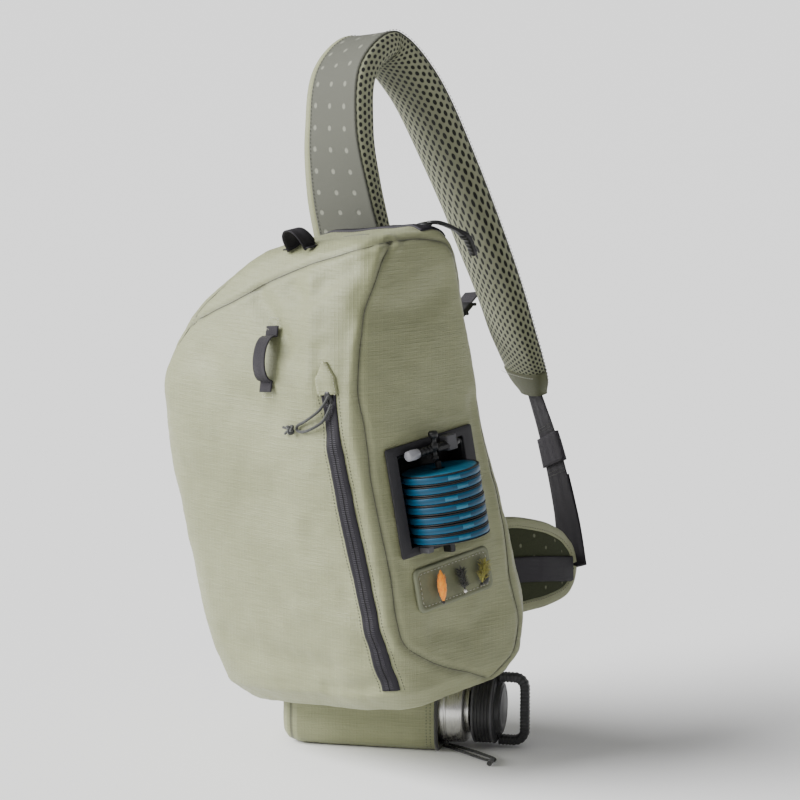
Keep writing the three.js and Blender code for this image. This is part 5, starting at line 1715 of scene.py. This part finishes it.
class SLINGBAG_OT_cords(bpy.types.Operator):
    """Pull cord of the front zip with its knot, and the sleeve's draw cord with its end"""

    bl_idname = "sling_bag.cords"
    bl_label = "Cords"

    def execute(self, context):
        diameter = sizes().cord_width / 1000
        route = []
        for x, z, off in FRONT_PULL:
            spot, _ = onto((x, -80, z), FRONT)
            route.append((x, spot[1] - off, z))
        points = placed(smooth_path(route, 34))
        cord, length = cord_curve("front_zip_cord", points, diameter)
        dress(cord, "cord_braid", "cord", "front_pull_cord")
        knot_place = (47.8, onto((47.8, -80, 240.5), FRONT)[0][1] - 4.3, 240.5)
        knot = self.knot("front_cord_knot", knot_place, 3.4)
        dress(knot, "cord_braid", "cord", "front_pull_knot")
        start = np.array((45.2, onto((45, -80, 240), FRONT)[0][1] - 2.6, 240.5))
        for number, way in enumerate(((-6.5, -0.2, -4.0), (-7.5, -0.2, 1.5))):
            tail = rod(f"front_cord_tail_{number}", start + np.outer(np.linspace(0, 1, 8), way), 1.1)
            dress(tail, "cord_braid", "cord")
        flat = smooth_path([(x, y, 1.45) for x, y in DRAW_CORD], 36)
        points = placed(flat, BASE)
        draw, length = cord_curve("draw_cord", points, diameter)
        dress(draw, "cord_braid", "cord", "sleeve_drawcord")
        end = redress("drawcord_end", "dark_cord")
        return {"FINISHED"}

    def knot(self, name, centre, radius):
        """An overhand knot of the same cord, wound about its middle."""
        line = []
        for t in np.linspace(0, 2 * math.pi, 90):
            x = (math.sin(t) + 2 * math.sin(2 * t)) / 3
            y = -0.30 * math.sin(3 * t)
            z = (math.cos(t) - 2 * math.cos(2 * t)) / 3
            line.append(np.array(centre) + np.array((x, y, z)) * radius)
        return rod(name, line, 1.35)


class SLINGBAG_OT_fittings(bpy.types.Operator):
    """The main zip's ribbed pull and slider, and a dark strip of painted shade for the slit in the top"""

    bl_idname = "sling_bag.fittings"
    bl_label = "Main zip pull"

    def execute(self, context):
        head, _ = onto((100, 59, 380), TOP, 3.4)
        drop = [(0, 0, 0), (7, 6, -1.5), (12, 16, -8), (15, 27, -18), (15.5, 32, -33)]
        line = smooth_path(head + np.array(drop), 60)
        run = tangents(line)
        side = square_to(run, (0.9, -0.45, 0.2))
        share = np.linspace(0, 1, 61)
        wide = np.interp(share, (0, 0.06, 0.5, 0.62, 0.94, 1), (0.6, 1, 1, 1.7, 1.7, 1.1))
        ribs = 1 + 0.12 * np.sign(np.sin(share * 90)) * (share > 0.6)
        grow = np.stack([wide, np.interp(share, (0, 0.5, 0.65, 1), (1, 1, 1.8, 1.5)) * ribs], axis=1)
        pull = band("zip_pull_tab", line, side, np.cross(run, side), outline(24, 4, 7.4, 2.8), grow=grow)
        dress(sharp(pull, 40), "black_plastic", "plastic", "main_zip_pull")
        spot, _ = onto((97, 59, 380), TOP, 1.2)
        slide = [spot + (x, 0, 0) for x in np.linspace(-8, 7, 14)]
        swell = np.sin(np.linspace(0.15, math.pi - 0.15, 14)) ** 0.5
        grow = np.stack([swell, swell], axis=1)
        section = outline(26, 4, 12, 5)
        body = band("main_slider", slide, [(0, 1, 0)] * 14, [(0, 0, 1)] * 14, section, grow=grow)
        dress(body, "black_plastic", "plastic")
        # Painted shade: a thin dark strip lies where the inside of the slit is in shade
        slit = np.linspace((51, 12, 380), (75, 17, 380), 16)
        taper = np.sin(np.linspace(0.1, math.pi - 0.1, 16)) ** 0.6
        slit_shade_look = ("dark_thread_and_slit_shade", "fabric")
        hugging("top_slit_shade", slit, (-0.2, 0.98, 0), 3.6, 0.25, TOP, *slit_shade_look, columns=4, taper=taper)
        return {"FINISHED"}


class SLINGBAG_OT_stage(bpy.types.Operator):
    """Pale floor, soft light and the photograph's camera"""

    bl_idname = "sling_bag.stage"
    bl_label = "Stage"

    def execute(self, context):
        clear_selection()
        bpy.ops.mesh.primitive_plane_add(size=FLOOR_SIZE, location=(0, 0, -FLOOR_DROP))
        floor = bpy.context.object
        floor.name = "floor"
        floor.data.materials.append(finish_of("floor"))
        world = bpy.data.worlds.new("studio")
        world.use_nodes = True
        background = world.node_tree.nodes["Background"]
        background.inputs["Color"].default_value = (1, 1, 1, 1)
        background.inputs["Strength"].default_value = WORLD_STRENGTH
        context.scene.world = world
        sun = bpy.data.lights.new("key", "SUN")
        sun.energy = SUN_STRENGTH
        sun.angle = math.radians(SUN_ANGLE)
        linked("key", sun).rotation_euler = Vector(SUN_FROM).to_track_quat("Z", "Y").to_euler()
        camera = bpy.data.cameras.new("camera")
        camera.sensor_width = SENSOR_WIDTH
        camera.lens = FOCAL_LENGTH_PX * SENSOR_WIDTH / PHOTO_WIDTH
        camera.clip_end = 300
        seat = linked("camera", camera)
        away = Vector(CAMERA_BACK).normalized()
        seat.location = Vector(CAMERA_TARGET) + away * CAMERA_DISTANCE
        seat.rotation_euler = away.to_track_quat("Z", "Y").to_euler()
        context.scene.camera = seat
        return {"FINISHED"}


OPERATORS = (
    SLINGBAG_OT_stage,
    SLINGBAG_OT_body,
    SLINGBAG_OT_zips,
    SLINGBAG_OT_loops,
    SLINGBAG_OT_spool_well,
    SLINGBAG_OT_spools,
    SLINGBAG_OT_fly_patch,
    SLINGBAG_OT_shoulder_strap,
    SLINGBAG_OT_hip_pad,
    SLINGBAG_OT_webbing,
    SLINGBAG_OT_sleeve,
    SLINGBAG_OT_bottle,
    SLINGBAG_OT_fittings,
    SLINGBAG_OT_cords,
)


class SLINGBAG_PT_panel(bpy.types.Panel):
    """The bag's sizes, colours and makers, in the sidebar"""

    bl_idname = "SLINGBAG_PT_panel"
    bl_label = "Fishing sling bag"
    bl_space_type = "VIEW_3D"
    bl_region_type = "UI"
    bl_category = "Sling bag"

    def draw(self, context):
        for group in (context.scene.sling_bag_sizes, context.scene.sling_bag_colours):
            box = self.layout.box()
            for key in group.bl_rna.properties.keys():
                if key not in ("rna_type", "name"):
                    box.prop(group, key)
        for operator in OPERATORS:
            self.layout.operator(operator.bl_idname)


CLASSES = (SlingBagSizes, SlingBagColours, *OPERATORS, SLINGBAG_PT_panel)


def register():
    for kind in CLASSES:
        bpy.utils.register_class(kind)
    bpy.types.Scene.sling_bag_sizes = PointerProperty(type=SlingBagSizes)
    bpy.types.Scene.sling_bag_colours = PointerProperty(type=SlingBagColours)


def unregister():
    del bpy.types.Scene.sling_bag_colours
    del bpy.types.Scene.sling_bag_sizes
    for kind in reversed(CLASSES):
        bpy.utils.unregister_class(kind)


def main():
    register()
    for operator in OPERATORS:
        group, name = operator.bl_idname.split(".")
        getattr(getattr(bpy.ops, group), name)()


if __name__ == "__main__":
    main()
